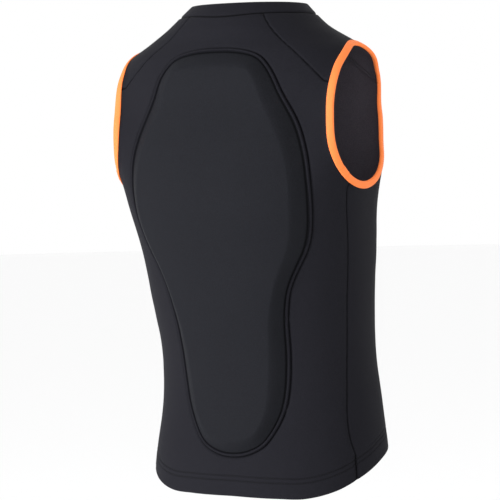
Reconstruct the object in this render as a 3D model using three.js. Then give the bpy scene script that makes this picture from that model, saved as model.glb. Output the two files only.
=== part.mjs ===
// A close-fitting sleeveless sports vest with a back protector, in millimetres, +Z up.
// The front faces -Y, the back +Y and the wearer's left +X. The origin is at the base of the neck, in the
// middle of the collar seam, at the height where the shoulders carry the vest.
import * as THREE from "three";

// Lengths
const backLength = 615; // collar seam to hem at the centre back
const collarHeight = 15;
const collarDip = 3; // how much lower the collar seam is at the centre back than over the shoulders
const hemRise = 66; // how much higher the hem is in front than at the back
const hemDepth = 26; // depth of the turned hem

// Girths, each as the full width and the full depth of its section
const neckWidth = 154;
const neckDepth = 130;
const chestWidth = 378;
const chestDepth = 215;
const waistWidth = 292;
const waistDepth = 202;
const hipWidth = 328;
const hipDepth = 212;

// Armholes, seen from the side
const armholeHeight = 175;
const armholeDepth = 156; // front to back
const armholeDrop = 41; // collar seam to the top of the opening
const armholeSetBack = 13.5; // middle of the opening behind the middle of the neck
const armholeLean = 0.135; // drift of the opening to the back for each millimetre down
const bindingWidth = 10;
const bindingWall = 1;
const bindingClearance = 0.6; // between the binding and the cloth inside its fold
const besideReach = 14; // armhole edge to a line on the cloth past the binding

// Seams. Angles round the body run from the wearer's left side towards the back, and angles round an
// opening run from its back edge towards its top.
const yokeAngle = 48.5; // round the body, where the shoulder seams leave the collar
const yokeEndBack = 25; // round the opening, where the back shoulder seam meets it
const yokeEndFront = 155;
const sideSeamStart = -68; // round the opening, where the side seam leaves it
const sideSeamAngle = 19.5; // round the body, where the side seam meets the hem
const underArmEnd = -125; // round the opening, where its foot turns up into its front edge
const seamGap = 0.3;

// Cloth
const clothWall = 2;
const hemWall = 3.6; // two layers of cloth
const hemTuck = 2; // height over which the cloth thickens into the hem
const collarWall = 2.6;
const zipWidth = 16;
const zipWall = 3;
const zipProud = 0.6; // how far the zip stands out of the cloth

// Back protector
const padDrop = 46; // collar seam to the top of the pad
const padFoot = 53; // hem to the foot of the pad, at the centre back
const padLength = backLength - padDrop - padFoot;
const padWidth = 254; // at its widest
const padThickness = 14;
const bevelWidth = 22; // edge of the pad to its flat middle
const coverWall = 1.5;
const weltWidth = 3.2;
const weltHeight = 2;
const weltSeat = 0.4; // clearance under the welt
const weltShoulder = 0.6; // share of the welt's height where its round top starts

// Steps of the mesh along each stretch of edge
const steps = {
  ends: 4, // centre back to the shoulder seam, and to the side seam at the hem
  yoke: 3, // collar to armhole
  armBack: 6, // shoulder seam to side seam, down the back edge of the armhole
  armTop: 8, // over the shoulder
  armFoot: 5, // under the arm
  armFront: 8, // up the front edge
  side: 13, // armhole to the top of the hem
  front: 6, // armhole to zip
  surround: 3, // pad to the edges of the back
};
const padSideSteps = steps.yoke + steps.armBack + steps.side;
const padSteps = 2 * steps.ends + padSideSteps;
const sameSpot = 1e-3; // corners closer than this are one
const smallTurn = 1e-3;
const smallRise = 0.5;
const hemCrowding = 1.25; // power that crowds the hem's steps at the back towards the side seams
const hemSpread = 0.6; // share of the way that the front's lines spread to even steps along the hem

const girths = {
  neck: { width: neckWidth, depth: neckDepth },
  chest: { width: chestWidth, depth: chestDepth },
  waist: { width: waistWidth, depth: waistDepth },
  hip: { width: hipWidth, depth: hipDepth },
};

// Sections of the body from the collar seam down. drop is a share of the back length, and half a share of
// the girth's width. back, front and lean are shares of its depth: how far the section reaches behind and
// before its middle, and how far that middle lies behind the neck's. square is 2 for an ellipse and more
// for a squarer section. flat is how far the back is pressed in between the armholes.
const bodySections = [
  { drop: 0, girth: "neck", half: 0.604, back: 0.554, front: 0.554, lean: 0.046, square: 2.0, flat: 0 },
  { drop: 0.028, girth: "neck", half: 0.734, back: 0.6, front: 0.577, lean: 0.062, square: 2.1, flat: 0 },
  { drop: 0.054, girth: "chest", half: 0.368, back: 0.395, front: 0.367, lean: 0.023, square: 2.2, flat: 0 },
  { drop: 0.076, girth: "chest", half: 0.426, back: 0.428, front: 0.391, lean: 0.012, square: 2.4, flat: 0 },
  { drop: 0.122, girth: "chest", half: 0.479, back: 0.479, front: 0.433, lean: 0.014, square: 2.6, flat: 0.02 },
  { drop: 0.203, girth: "chest", half: 0.5, back: 0.516, front: 0.484, lean: 0.045, square: 2.8, flat: 0.09 },
  { drop: 0.285, girth: "chest", half: 0.476, back: 0.526, front: 0.521, lean: 0.07, square: 2.7, flat: 0.08 },
  { drop: 0.382, girth: "chest", half: 0.442, back: 0.53, front: 0.526, lean: 0.042, square: 2.5, flat: 0.03 },
  { drop: 0.496, girth: "waist", half: 0.539, back: 0.545, front: 0.54, lean: -0.045, square: 2.4, flat: 0.01 },
  { drop: 0.593, girth: "waist", half: 0.519, back: 0.525, front: 0.52, lean: -0.084, square: 2.3, flat: 0 },
  { drop: 0.707, girth: "waist", half: 0.5, back: 0.505, front: 0.495, lean: -0.149, square: 2.3, flat: 0 },
  { drop: 0.821, girth: "hip", half: 0.459, back: 0.505, front: 0.458, lean: -0.189, square: 2.3, flat: 0 },
  { drop: 0.935, girth: "hip", half: 0.489, back: 0.533, front: 0.458, lean: -0.175, square: 2.3, flat: 0 },
  { drop: 1.049, girth: "hip", half: 0.505, back: 0.542, front: 0.462, lean: -0.16, square: 2.3, flat: 0 },
];
const collarTop = { girth: "neck", half: 0.5, back: 0.492, front: 0.508, lean: 0.015, square: 2.0, flat: 0 };
const flatShare = 0.55; // share of the half width where the pressed part of the back begins to run out

// How the side seam bends to the back, in degrees round the body, by the share of its way to the hem.
const sideSeamBend = [
  { run: 0, turn: 0 },
  { run: 0.14, turn: -0.8 },
  { run: 0.42, turn: -1.3 },
  { run: 0.62, turn: -0.6 },
  { run: 0.74, turn: 1.4 },
  { run: 0.86, turn: 3.2 },
  { run: 0.94, turn: 2.4 },
  { run: 1, turn: 0 },
];

// Rise of the hem, as a share of its whole rise, against the angle round the body.
const hemLine = [
  { angle: -90, rise: 1 },
  { angle: -60, rise: 0.97 },
  { angle: -30, rise: 0.87 },
  { angle: -3, rise: 0.66 },
  { angle: 17.5, rise: 0.35 },
  { angle: 30, rise: 0.14 },
  { angle: 45, rise: 0.005 },
  { angle: 60, rise: 0 },
  { angle: 90, rise: 0.012 },
];

// Side of the pad from its upper to its lower corner. drop is a share of the pad's length, and half a share
// of its width.
const padSide = [
  { drop: 0.021, half: 0.248 },
  { drop: 0.056, half: 0.311 },
  { drop: 0.112, half: 0.358 },
  { drop: 0.19, half: 0.445 },
  { drop: 0.26, half: 0.489 },
  { drop: 0.327, half: 0.5 },
  { drop: 0.384, half: 0.496 },
  { drop: 0.488, half: 0.445 },
  { drop: 0.541, half: 0.386 },
  { drop: 0.579, half: 0.35 },
  { drop: 0.638, half: 0.323 },
  { drop: 0.773, half: 0.301 },
  { drop: 0.833, half: 0.289 },
  { drop: 0.886, half: 0.268 },
  { drop: 0.928, half: 0.232 },
  { drop: 0.969, half: 0.181 },
];
const topArch = 2.6; // power of the curve across the top of the pad
const footArch = 2.2;

// Where the corners of the seams round the back face the side of the pad, as shares of its length.
const padStops = [
  { step: steps.ends, drop: padSide[0].drop },
  { step: steps.ends + steps.yoke, drop: 0.115 },
  { step: steps.ends + steps.yoke + steps.armBack, drop: 0.33 },
  { step: padSteps - steps.ends, drop: padSide.at(-1).drop },
];

// Rise of the pad from its edge inwards, as shares of the bevel's width and of the pad's whole rise. The
// foam starts at the second row.
const bevelRings = [
  { inset: 0, rise: 0 },
  { inset: 0.22, rise: 0.2 },
  { inset: 0.72, rise: 0.78 },
  { inset: 1, rise: 0.95 },
  { inset: 1.2, rise: 1 },
];

const radians = THREE.MathUtils.degToRad;
const degrees = THREE.MathUtils.radToDeg;
const between = THREE.MathUtils.lerp;
const backwards = Math.PI / 2;

// A smooth curve through the rows of a table: the value of column to where column from has the value at.
function along(table, from, to, at) {
  const last = table.length - 1;
  const run = (j) => table[j + 1][from] - table[j][from];
  const slope = (j) => (table[j + 1][to] - table[j][to]) / run(j);
  const tangent = (j) => {
    if (j === 0) return slope(0);
    if (j === last) return slope(last - 1);
    return (slope(j - 1) * run(j) + slope(j) * run(j - 1)) / (run(j) + run(j - 1));
  };
  let i = 0;
  while (i < last - 1 && at > table[i + 1][from]) i += 1;
  const t = (at - table[i][from]) / run(i);
  const rest = 1 - t;
  const start = (1 + 2 * t) * rest * rest * table[i][to] + t * rest * rest * run(i) * tangent(i);
  const end = t * t * (3 - 2 * t) * table[i + 1][to] - t * t * rest * run(i) * tangent(i + 1);
  return start + end;
}

// Shape of the body

function sizedSection(row, fall) {
  const { width, depth } = girths[row.girth];
  return {
    fall,
    half: row.half * width,
    back: row.back * depth,
    front: row.front * depth,
    lean: row.lean * depth,
    square: row.square,
    flat: row.flat * depth,
  };
}

const sections = [
  sizedSection(collarTop, -collarHeight),
  ...bodySections.map((row) => sizedSection(row, row.drop * backLength)),
];

function sectionAt(z) {
  const read = (column) => along(sections, "fall", column, -z);
  return {
    half: read("half"),
    back: read("back"),
    front: read("front"),
    lean: read("lean"),
    square: read("square"),
    flat: read("flat"),
  };
}

// How far the cloth is pressed in at a distance x from the middle, behind a section's middle where deep is
// above 0.
function pressed(x, deep, { half, flat }) {
  if (deep <= 0) return 0;
  return flat * (1 - THREE.MathUtils.smoothstep(Math.abs(x) / half, flatShare, 1));
}

// The outer face of the cloth. A spot on it is an angle round the body, in radians, and a height.
function surface({ angle, z }) {
  const section = sectionAt(z);
  const { half, back, front, lean, square } = section;
  const across = Math.cos(angle);
  const deep = Math.sin(angle);
  const depth = deep > 0 ? back : front;
  const reach = (Math.abs(across / half) ** square + Math.abs(deep / depth) ** square) ** (-1 / square);
  const x = reach * across;
  return new THREE.Vector3(x, lean + reach * deep - pressed(x, deep, section), z);
}

function outward({ angle, z }) {
  const round = surface({ angle: angle + smallTurn, z }).sub(surface({ angle: angle - smallTurn, z }));
  const up = surface({ angle, z: z + smallRise }).sub(surface({ angle, z: z - smallRise }));
  return round.cross(up).normalize();
}

function spotNear({ x, y, z }) {
  const section = sectionAt(z);
  const deep = y - section.lean;
  return { angle: Math.atan2(deep + pressed(x, deep, section), x), z };
}

// The rest of a superellipse's reach where it has gone a share of the way along its other axis.
function remaining(share, square) {
  return Math.max(0, 1 - Math.abs(share) ** square) ** (1 / square);
}

// The spot at a distance x from the middle, on the back where facing is 1 and on the front where it is -1.
function spotAcross(x, z, facing) {
  const { half, back, front, square } = sectionAt(z);
  const depth = facing > 0 ? back : front;
  return { angle: Math.atan2(facing * depth * remaining(x / half, square), x), z };
}

// The spot on the wearer's left side at a distance y behind the middle of the neck.
function spotDeep(y, z) {
  const { half, back, front, lean, square } = sectionAt(z);
  const off = y - lean;
  const depth = off > 0 ? back : front;
  return { angle: Math.atan2(off, half * remaining(off / depth, square)), z };
}

// Rows of spots

function line(a, b, count) {
  return Array.from({ length: count + 1 }, (_, i) => ({
    angle: between(a.angle, b.angle, i / count),
    z: between(a.z, b.z, i / count),
  }));
}

function stretch(place, from, to, count) {
  return Array.from({ length: count + 1 }, (_, i) => place(between(from, to, i / count)));
}

// Lines of spots from each spot of one edge to its match on another.
function ruled(from, to, count) {
  return from.map((spot, i) => line(spot, to[i], count));
}

function chain(...rows) {
  return rows.flatMap((row, i) => (i === 0 ? row : row.slice(1)));
}

const acrossMiddle = (spot) => ({ ...spot, angle: Math.PI - spot.angle });
const otherHalf = (patch) => patch.map((row) => row.map(acrossMiddle));

// Seam lines, on the wearer's left half

function collarSpot(angle) {
  const centred = Math.max(0, Math.sin(radians(angle))) ** 8;
  return { angle: radians(angle), z: -collarDip * centred };
}

function hemSpot(angle, above) {
  const rise = hemRise * along(hemLine, "angle", "rise", degrees(angle));
  return { angle, z: rise + above - backLength };
}

const zipSpot = (z) => spotAcross(zipWidth / 2, z, -1);
const zipAngle = degrees(zipSpot(0).angle);

function armholeSpot(angle) {
  const up = (armholeHeight / 2) * Math.sin(radians(angle));
  const back = (armholeDepth / 2) * Math.cos(radians(angle)) - armholeLean * up;
  return spotDeep(armholeSetBack + back, up - armholeDrop - armholeHeight / 2);
}

// A spot on the cloth beside the armhole, past the binding. It lies at a right angle to the edge.
function besideArmhole(angle) {
  const spot = armholeSpot(angle);
  const step = surface(armholeSpot(angle + 1)).sub(surface(armholeSpot(angle - 1)));
  const away = step.cross(outward(spot)).normalize();
  return spotNear(surface(spot).addScaledVector(away, besideReach));
}

const armStretches = {
  top: [yokeEndFront, yokeEndBack, steps.armTop],
  back: [yokeEndBack, sideSeamStart, steps.armBack],
  foot: [sideSeamStart, underArmEnd, steps.armFoot],
  front: [underArmEnd, yokeEndFront - 360, steps.armFront],
};
const armEdge = {};
const besideArm = {};
for (const [name, [from, to, count]] of Object.entries(armStretches)) {
  armEdge[name] = stretch(armholeSpot, from, to, count);
  besideArm[name] = stretch(besideArmhole, from, to, count);
}

const yokeSeamBack = line(collarSpot(yokeAngle), besideArm.back[0], steps.yoke);
const yokeSeamFront = line(collarSpot(-yokeAngle), besideArm.front.at(-1), steps.yoke);
const straightSide = line(besideArm.back.at(-1), hemSpot(radians(sideSeamAngle), hemDepth), steps.side);
const sideSeam = straightSide.map(({ angle, z }, i) => {
  const turn = along(sideSeamBend, "run", "turn", i / steps.side);
  return { angle: angle + radians(turn), z };
});
const collarSeam = {
  back: stretch(collarSpot, 90, yokeAngle, steps.ends),
  top: stretch(collarSpot, yokeAngle, -yokeAngle, steps.armTop),
  front: stretch(collarSpot, -yokeAngle, zipAngle, steps.front),
};

// Outline of the pad, seen from behind. step runs from the middle of its top, down the wearer's left side,
// to the middle of its foot.
function padPoint(step) {
  const top = padSide[0];
  const foot = padSide.at(-1);
  if (step <= steps.ends) {
    const share = step / steps.ends;
    const drop = top.drop * Math.abs(share) ** topArch;
    return { x: share * top.half * padWidth, z: -padDrop - drop * padLength };
  }
  if (step >= padSteps - steps.ends) {
    const share = (padSteps - step) / steps.ends;
    const drop = 1 - (1 - foot.drop) * Math.abs(share) ** footArch;
    return { x: share * foot.half * padWidth, z: -padDrop - drop * padLength };
  }
  const drop = along(padStops, "step", "drop", step);
  return { x: along(padSide, "drop", "half", drop) * padWidth, z: -padDrop - drop * padLength };
}

// The outline moved inwards. It is smoothed over half a step to each side.
function padInset(step, distance) {
  const here = padPoint(step);
  const before = padPoint(step - 0.5);
  const after = padPoint(step + 0.5);
  const run = Math.hypot(after.x - before.x, after.z - before.z);
  return {
    x: here.x + ((after.z - before.z) / run) * distance,
    z: here.z - ((after.x - before.x) / run) * distance,
  };
}

const onBack = ({ x, z }) => spotAcross(x, z, 1);
const bare = ({ angle, z }) => ({ angle, z });

const padInsets = bevelRings.map((ring) =>
  stretch((step) => padInset(step, ring.inset * bevelWidth), 0, padSteps, padSteps),
);
const padRings = bevelRings.map((ring, i) =>
  padInsets[i].map((point) => ({
    ...onBack(point),
    lift: between(seamGap + coverWall, padThickness, ring.rise),
  })),
);

// The flat middle of the pad: a grid whose edges are the innermost ring's two sides and two ends.
function padMiddle() {
  const inner = padInsets.at(-1);
  const columns = 2 * steps.ends;
  const mirrored = ({ x, z }) => ({ x: -x, z });
  const atTop = (step) => (step < 0 ? mirrored(inner[-step]) : inner[step]);
  const atFoot = (step) => (step > padSteps ? mirrored(inner[2 * padSteps - step]) : inner[step]);
  const firstFoot = padSteps - steps.ends;
  return stretch((row) => row, 0, padSideSteps, padSideSteps).map((row) => {
    const down = row / padSideSteps;
    const left = inner[steps.ends + row];
    const right = mirrored(left);
    return stretch((column) => column, 0, columns, columns).map((column) => {
      const round = column / columns;
      const top = atTop(steps.ends - column);
      const foot = atFoot(firstFoot + column);
      const blend = (key) => {
        const sides = between(left[key], right[key], round);
        const ends = between(top[key], foot[key], down);
        const topCorners = between(atTop(steps.ends)[key], atTop(-steps.ends)[key], round);
        const footCorners = between(inner[firstFoot][key], mirrored(inner[firstFoot])[key], round);
        return sides + ends - between(topCorners, footCorners, down);
      };
      return { ...onBack({ x: blend("x"), z: blend("z") }), lift: padThickness };
    });
  });
}

const middle = padMiddle();

// Closed meshes

function solid(points, index) {
  const geometry = new THREE.BufferGeometry().setFromPoints(points);
  geometry.setIndex(index);
  geometry.computeVertexNormals();
  return geometry;
}

// Turns patches of spots into one closed sheet. Spots in the same place are one, the free edge is drawn in,
// and outer and inner say how far the two faces lie outside the surface at a spot.
function sheet(patches, outer, inner, drawIn = seamGap / 2) {
  const spots = [];
  const places = [];
  const found = new Map();
  const indexOf = (spot) => {
    const place = surface(spot);
    const key = place.toArray().map((value) => Math.round(value / sameSpot)).join();
    if (!found.has(key)) {
      found.set(key, spots.length);
      spots.push(spot);
      places.push(place);
    }
    return found.get(key);
  };
  const faces = [];
  const addFace = (a, b, c) => {
    if (a === b || b === c || a === c) return;
    const first = places[b].clone().sub(places[a]);
    const facing = first.cross(places[c].clone().sub(places[a]));
    faces.push(facing.dot(outward(spots[a])) > 0 ? [a, b, c] : [a, c, b]);
  };
  for (const patch of patches) {
    const grid = patch.map((row) => row.map(indexOf));
    for (let i = 0; i + 1 < grid.length; i += 1) {
      for (let j = 0; j + 1 < grid[i].length; j += 1) {
        addFace(grid[i][j], grid[i + 1][j], grid[i + 1][j + 1]);
        addFace(grid[i][j], grid[i + 1][j + 1], grid[i][j + 1]);
      }
    }
  }

  const edges = new Map();
  for (const [a, b, c] of faces) {
    edges.set(a + "_" + b, [a, b]);
    edges.set(b + "_" + c, [b, c]);
    edges.set(c + "_" + a, [c, a]);
  }
  const free = [...edges.values()].filter(([p, q]) => !edges.has(q + "_" + p));
  const normals = spots.map(outward);
  const inwards = new Map(free.map(([p]) => [p, []]));
  for (const [p, q] of free) {
    const way = places[q].clone().sub(places[p]);
    for (const corner of [p, q]) {
      inwards.get(corner).push(normals[corner].clone().cross(way).normalize());
    }
  }
  for (const [corner, [first, second]] of inwards) {
    const meet = first.clone().add(second);
    places[corner].addScaledVector(meet, drawIn / (1 + first.dot(second)));
  }

  const raised = (height) =>
    spots.map((spot, i) => places[i].clone().addScaledVector(normals[i], height(spot)));
  const count = spots.length;
  const index = [];
  for (const [a, b, c] of faces) index.push(a, b, c, a + count, c + count, b + count);
  for (const [p, q] of free) index.push(q, p, p + count, q, p + count, q + count);
  return solid([...raised(outer), ...raised(inner)], index);
}

// Carries a closed profile round a loop. Each station is a spot on the loop and a spot beside it, and a
// corner of the profile is so far along the cloth from the first to the second, and so far above the cloth.
// Its faces are split from the near corner of a station to the far corner of the next, as the cloth's are.
function edging(stations, profile) {
  const points = stations.flatMap(([near, far]) => {
    const start = surface(near);
    const way = surface(far).sub(start);
    return profile.map(({ across, above }) => {
      const share = across / way.length();
      const up = outward(near).lerp(outward(far), share);
      return start.clone().addScaledVector(way, share).addScaledVector(up, above);
    });
  });
  const size = profile.length;
  const index = [];
  for (let i = 0; i < stations.length; i += 1) {
    const here = i * size;
    const next = ((i + 1) % stations.length) * size;
    for (let j = 0; j < size; j += 1) {
      const k = (j + 1) % size;
      if (profile[j].across < profile[k].across) {
        index.push(here + j, next + k, next + j, here + j, here + k, next + k);
      } else {
        index.push(here + j, here + k, next + j, next + j, here + k, next + k);
      }
    }
  }
  return solid(points, index);
}

// Pieces

const onSurface = () => 0;
const insideCloth = (spot) => (spot.hem ? -hemWall : -clothWall);

// Rows of the turned hem below a row of spots. The cloth is doubled just under the first.
function hemRows(top) {
  const heights = [hemDepth, hemDepth - hemTuck, hemDepth / 2, 0];
  return heights.map((height, i) => top.map((spot) => ({ ...hemSpot(spot.angle, height), hem: i > 0 })));
}

const hemCorner = sideSeam.at(-1);
const hemTopBack = stretch(
  (share) => hemSpot(between(hemCorner.angle, backwards, share ** hemCrowding), hemDepth),
  0,
  1,
  steps.ends,
);
const backRim = chain(collarSeam.back, yokeSeamBack, besideArm.back, sideSeam, hemTopBack);
const surround = ruled(padRings[0].map(bare), backRim, steps.surround);

function backPanel() {
  const underPad = padRings.map((ring) => ring.map(bare));
  const half = [
    surround,
    underPad,
    [armEdge.back, besideArm.back],
    hemRows(hemTopBack),
  ];
  return sheet([...half, ...half.map(otherHalf), middle], onSurface, insideCloth);
}

function shoulderPanel() {
  const outerEdge = [...besideArm.top].reverse();
  const half = [ruled(collarSeam.top, outerEdge, steps.yoke), [armEdge.top, besideArm.top]];
  return sheet(half, onSurface, insideCloth);
}

// The front and the edge that the zip is sewn to, from the hem up.
function frontPanel() {
  const turn = besideArm.foot.at(-1);
  const topEdge = chain(besideArm.foot, line(turn, zipSpot(turn.z), steps.front));
  const last = topEdge.length - 1;
  const hemZip = zipSpot(hemSpot(-backwards, hemDepth).z).angle;
  const hemTop = topEdge.map((spot, i) => {
    const even = between(hemCorner.angle, hemZip, i / last);
    const inner = i > 0 && i < last;
    return hemSpot(inner ? between(spot.angle, even, hemSpread) : even, hemDepth);
  });
  const lower = ruled(topEdge, hemTop, steps.side);
  lower[0] = sideSeam;
  lower[last] = lower[last].map((spot) => zipSpot(spot.z));

  const outerEdge = chain(besideArm.front, [...yokeSeamFront].reverse());
  const upper = outerEdge.map((spot, i) => {
    const z = between(turn.z, 0, i / (outerEdge.length - 1));
    return line(spot, zipSpot(z), steps.front);
  });
  upper[upper.length - 1] = collarSeam.front;

  const hem = hemRows(hemTop).map((row) => {
    const end = row.at(-1);
    return [...row.slice(0, -1), { ...end, ...zipSpot(end.z) }];
  });
  const bands = [
    [armEdge.foot, besideArm.foot],
    [armEdge.front, besideArm.front],
  ];
  const hemEnds = hem.map((row) => row.at(-1)).reverse();
  const zipEdge = chain(hemEnds, [...lower[last]].reverse(), upper.map((row) => row.at(-1)));
  return { geometry: sheet([lower, upper, hem, ...bands], onSurface, insideCloth), zipEdge };
}

function collar() {
  const seam = chain(collarSeam.back, collarSeam.top, collarSeam.front);
  const rows = [0, 0.5, 1].map((share) => {
    const row = seam.map((spot) => ({ angle: spot.angle, z: between(spot.z, collarHeight, share) }));
    return [...row.slice(0, -1), zipSpot(row.at(-1).z)];
  });
  const geometry = sheet([rows, otherHalf(rows)], onSurface, () => -collarWall);
  return { geometry, zipEdge: rows.map((row) => row.at(-1)) };
}

function zip(edge) {
  const rows = edge.map((spot) => [bare(spot), { angle: -backwards, z: spot.z }, acrossMiddle(bare(spot))]);
  return sheet([rows], () => zipProud, () => zipProud - zipWall);
}

function armholeBinding() {
  const turns = Object.values(armStretches).flatMap(([from, to, count]) =>
    stretch((angle) => angle, from, to, count).slice(1),
  );
  const stations = turns.map((angle) => [armholeSpot(angle), besideArmhole(angle)]);
  const slotTop = bindingClearance;
  const slotFoot = -clothWall - bindingClearance;
  const fold = -bindingClearance;
  const profile = [
    { across: bindingWidth, above: slotTop },
    { across: bindingWidth, above: slotTop + bindingWall },
    { across: fold, above: slotTop + bindingWall },
    { across: fold - bindingWall, above: slotTop },
    { across: fold - bindingWall, above: slotFoot },
    { across: fold, above: slotFoot - bindingWall },
    { across: bindingWidth, above: slotFoot - bindingWall },
    { across: bindingWidth, above: slotFoot },
    { across: fold, above: slotFoot },
    { across: fold, above: slotTop },
  ];
  return edging(stations, profile);
}

function padShell(firstRing, outer, inner) {
  const rings = padRings.slice(firstRing);
  return sheet([rings, otherHalf(rings), middle], outer, inner, 0);
}

function padWelt() {
  const left = surround.map((row) => [row[0], row[1]]);
  const right = left.slice(1, -1).reverse().map((pair) => pair.map(acrossMiddle));
  const shoulder = weltSeat + weltShoulder * weltHeight;
  const profile = [
    { across: seamGap, above: weltSeat },
    { across: seamGap, above: shoulder },
    { across: seamGap + weltWidth / 2, above: weltSeat + weltHeight },
    { across: seamGap + weltWidth, above: shoulder },
    { across: seamGap + weltWidth, above: weltSeat },
  ];
  return edging([...left, ...right], profile);
}

// Finishes

function finish(name, color, roughness) {
  return new THREE.MeshStandardMaterial({ name, color, roughness, metalness: 0 });
}
const knit = finish("charcoal_knit", 0x2b2c31, 0.85);
const padCloth = finish("pad_fabric", 0x303136, 0.8);
const orange = finish("orange_elastic", 0xff9a4d, 0.75);
const foam = finish("protector_foam", 0x3a3d42, 0.9);
const zipTape = finish("zip_tape", 0x17181a, 0.6);

// Assembly

const vest = new THREE.Group();

function add(name, geometry, material) {
  const mesh = new THREE.Mesh(geometry, material);
  mesh.name = name;
  vest.add(mesh);
}

function mirror(geometry) {
  const copy = geometry.clone().scale(-1, 1, 1);
  const corners = copy.getIndex().array;
  for (let i = 0; i < corners.length; i += 3) corners.subarray(i, i + 3).reverse();
  copy.computeVertexNormals();
  return copy;
}

function addPair(name, geometry, material) {
  add(name + "_left", geometry, material);
  add(name + "_right", mirror(geometry), material);
}

const front = frontPanel();
const stand = collar();
const underCover = (spot) => spot.lift - coverWall;
add("back_panel", backPanel(), knit);
addPair("shoulder_panel", shoulderPanel(), knit);
addPair("front_panel", front.geometry, knit);
add("collar", stand.geometry, knit);
add("front_zip", zip(chain(front.zipEdge, stand.zipEdge)), zipTape);
addPair("armhole_binding", armholeBinding(), orange);
add("protector", padShell(1, (spot) => underCover(spot) - seamGap, () => seamGap), foam);
add("pad_cover", padShell(0, (spot) => spot.lift, underCover), padCloth);
add("pad_welt", padWelt(), knit);

export default vest;
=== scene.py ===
"""Dresses the protective vest: knit panels, elastic bindings and a padded back protector."""

import math
from collections import namedtuple

import bmesh
import bpy
import numpy as np
from bpy.props import FloatProperty, FloatVectorProperty, PointerProperty
from mathutils import Matrix, Vector, kdtree, noise


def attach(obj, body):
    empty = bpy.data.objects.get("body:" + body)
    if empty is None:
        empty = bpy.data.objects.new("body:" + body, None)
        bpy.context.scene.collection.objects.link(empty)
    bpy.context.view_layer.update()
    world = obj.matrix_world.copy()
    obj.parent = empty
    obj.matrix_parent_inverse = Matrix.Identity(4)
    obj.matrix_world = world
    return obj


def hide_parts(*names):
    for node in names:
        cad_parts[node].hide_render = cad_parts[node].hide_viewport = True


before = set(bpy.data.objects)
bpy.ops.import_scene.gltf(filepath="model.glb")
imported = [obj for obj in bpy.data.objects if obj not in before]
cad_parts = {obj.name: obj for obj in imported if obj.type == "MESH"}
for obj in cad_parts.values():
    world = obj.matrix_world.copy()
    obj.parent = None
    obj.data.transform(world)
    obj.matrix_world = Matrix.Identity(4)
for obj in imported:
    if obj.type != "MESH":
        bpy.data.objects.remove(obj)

bl_info = {
    "name": "Protective vest",
    "version": (1, 0, 0),
    "blender": (4, 5, 0),
    "location": "3D View > Sidebar > Vest",
    "description": "Builds a sleeveless sports vest with a back protector over its packed CAD model",
    "category": "Object",
}

BODY = "root"

# Sections of the body from the collar seam down. drop is a share of the back length, and half a
# share of the girth's width. back, front and lean are shares of its depth: how far the section
# reaches behind and before its middle, and how far that middle lies behind the neck's. square is 2
# for an ellipse. flat is how far the back is pressed in between the armholes.
Section = namedtuple("Section", "drop girth half back front lean square flat")
BODY_SECTIONS = (
    Section(0.0, "neck", 0.604, 0.554, 0.554, 0.046, 2.0, 0),
    Section(0.028, "neck", 0.734, 0.6, 0.577, 0.062, 2.1, 0),
    Section(0.054, "chest", 0.368, 0.395, 0.367, 0.023, 2.2, 0),
    Section(0.076, "chest", 0.426, 0.428, 0.391, 0.012, 2.4, 0),
    Section(0.122, "chest", 0.479, 0.479, 0.433, 0.014, 2.6, 0.02),
    Section(0.203, "chest", 0.5, 0.516, 0.484, 0.045, 2.8, 0.09),
    Section(0.285, "chest", 0.476, 0.526, 0.521, 0.07, 2.7, 0.08),
    Section(0.382, "chest", 0.442, 0.53, 0.526, 0.042, 2.5, 0.03),
    Section(0.496, "waist", 0.539, 0.545, 0.54, -0.045, 2.4, 0.01),
    Section(0.593, "waist", 0.519, 0.525, 0.52, -0.084, 2.3, 0),
    Section(0.707, "waist", 0.5, 0.505, 0.495, -0.149, 2.3, 0),
    Section(0.821, "hip", 0.459, 0.505, 0.458, -0.189, 2.3, 0),
    Section(0.935, "hip", 0.489, 0.533, 0.458, -0.175, 2.3, 0),
    Section(1.049, "hip", 0.505, 0.542, 0.462, -0.16, 2.3, 0),
)
COLLAR_TOP = Section(0.0, "neck", 0.5, 0.492, 0.508, 0.015, 2.0, 0)

# Rise of the hem, as a share of its whole rise, by the angle round the body.
HemSpot = namedtuple("HemSpot", "angle rise")
HEM_LINE = (
    HemSpot(-90, 1),
    HemSpot(-60, 0.97),
    HemSpot(-30, 0.87),
    HemSpot(-3, 0.66),
    HemSpot(17.5, 0.35),
    HemSpot(30, 0.14),
    HemSpot(45, 0.005),
    HemSpot(60, 0),
    HemSpot(90, 0.012),
)

# Side of the pad from its upper to its lower corner, as shares of its length and width. bevel is
# the width of the sloping edge there, as a share of its usual width.
PadSide = namedtuple("PadSide", "drop half bevel")
PAD_SIDE = (
    PadSide(0.021, 0.248, 0.8),
    PadSide(0.056, 0.306, 0.85),
    PadSide(0.112, 0.358, 1.1),
    PadSide(0.19, 0.445, 1.18),
    PadSide(0.26, 0.489, 1.1),
    PadSide(0.327, 0.5, 1.02),
    PadSide(0.384, 0.496, 1.05),
    PadSide(0.488, 0.445, 0.95),
    PadSide(0.541, 0.386, 0.85),
    PadSide(0.579, 0.35, 0.8),
    PadSide(0.638, 0.323, 0.88),
    PadSide(0.773, 0.301, 1.0),
    PadSide(0.833, 0.289, 1.0),
    PadSide(0.886, 0.268, 0.9),
    PadSide(0.928, 0.232, 0.75),
    PadSide(0.969, 0.181, 0.65),
)
TOP_ARCH = 2.6
FOOT_ARCH = 2.2
TOP_BEVEL = 1.1
FOOT_BEVEL = 0.75
ROUNDING = 40
EDGE_ROUNDING = 14

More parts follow.
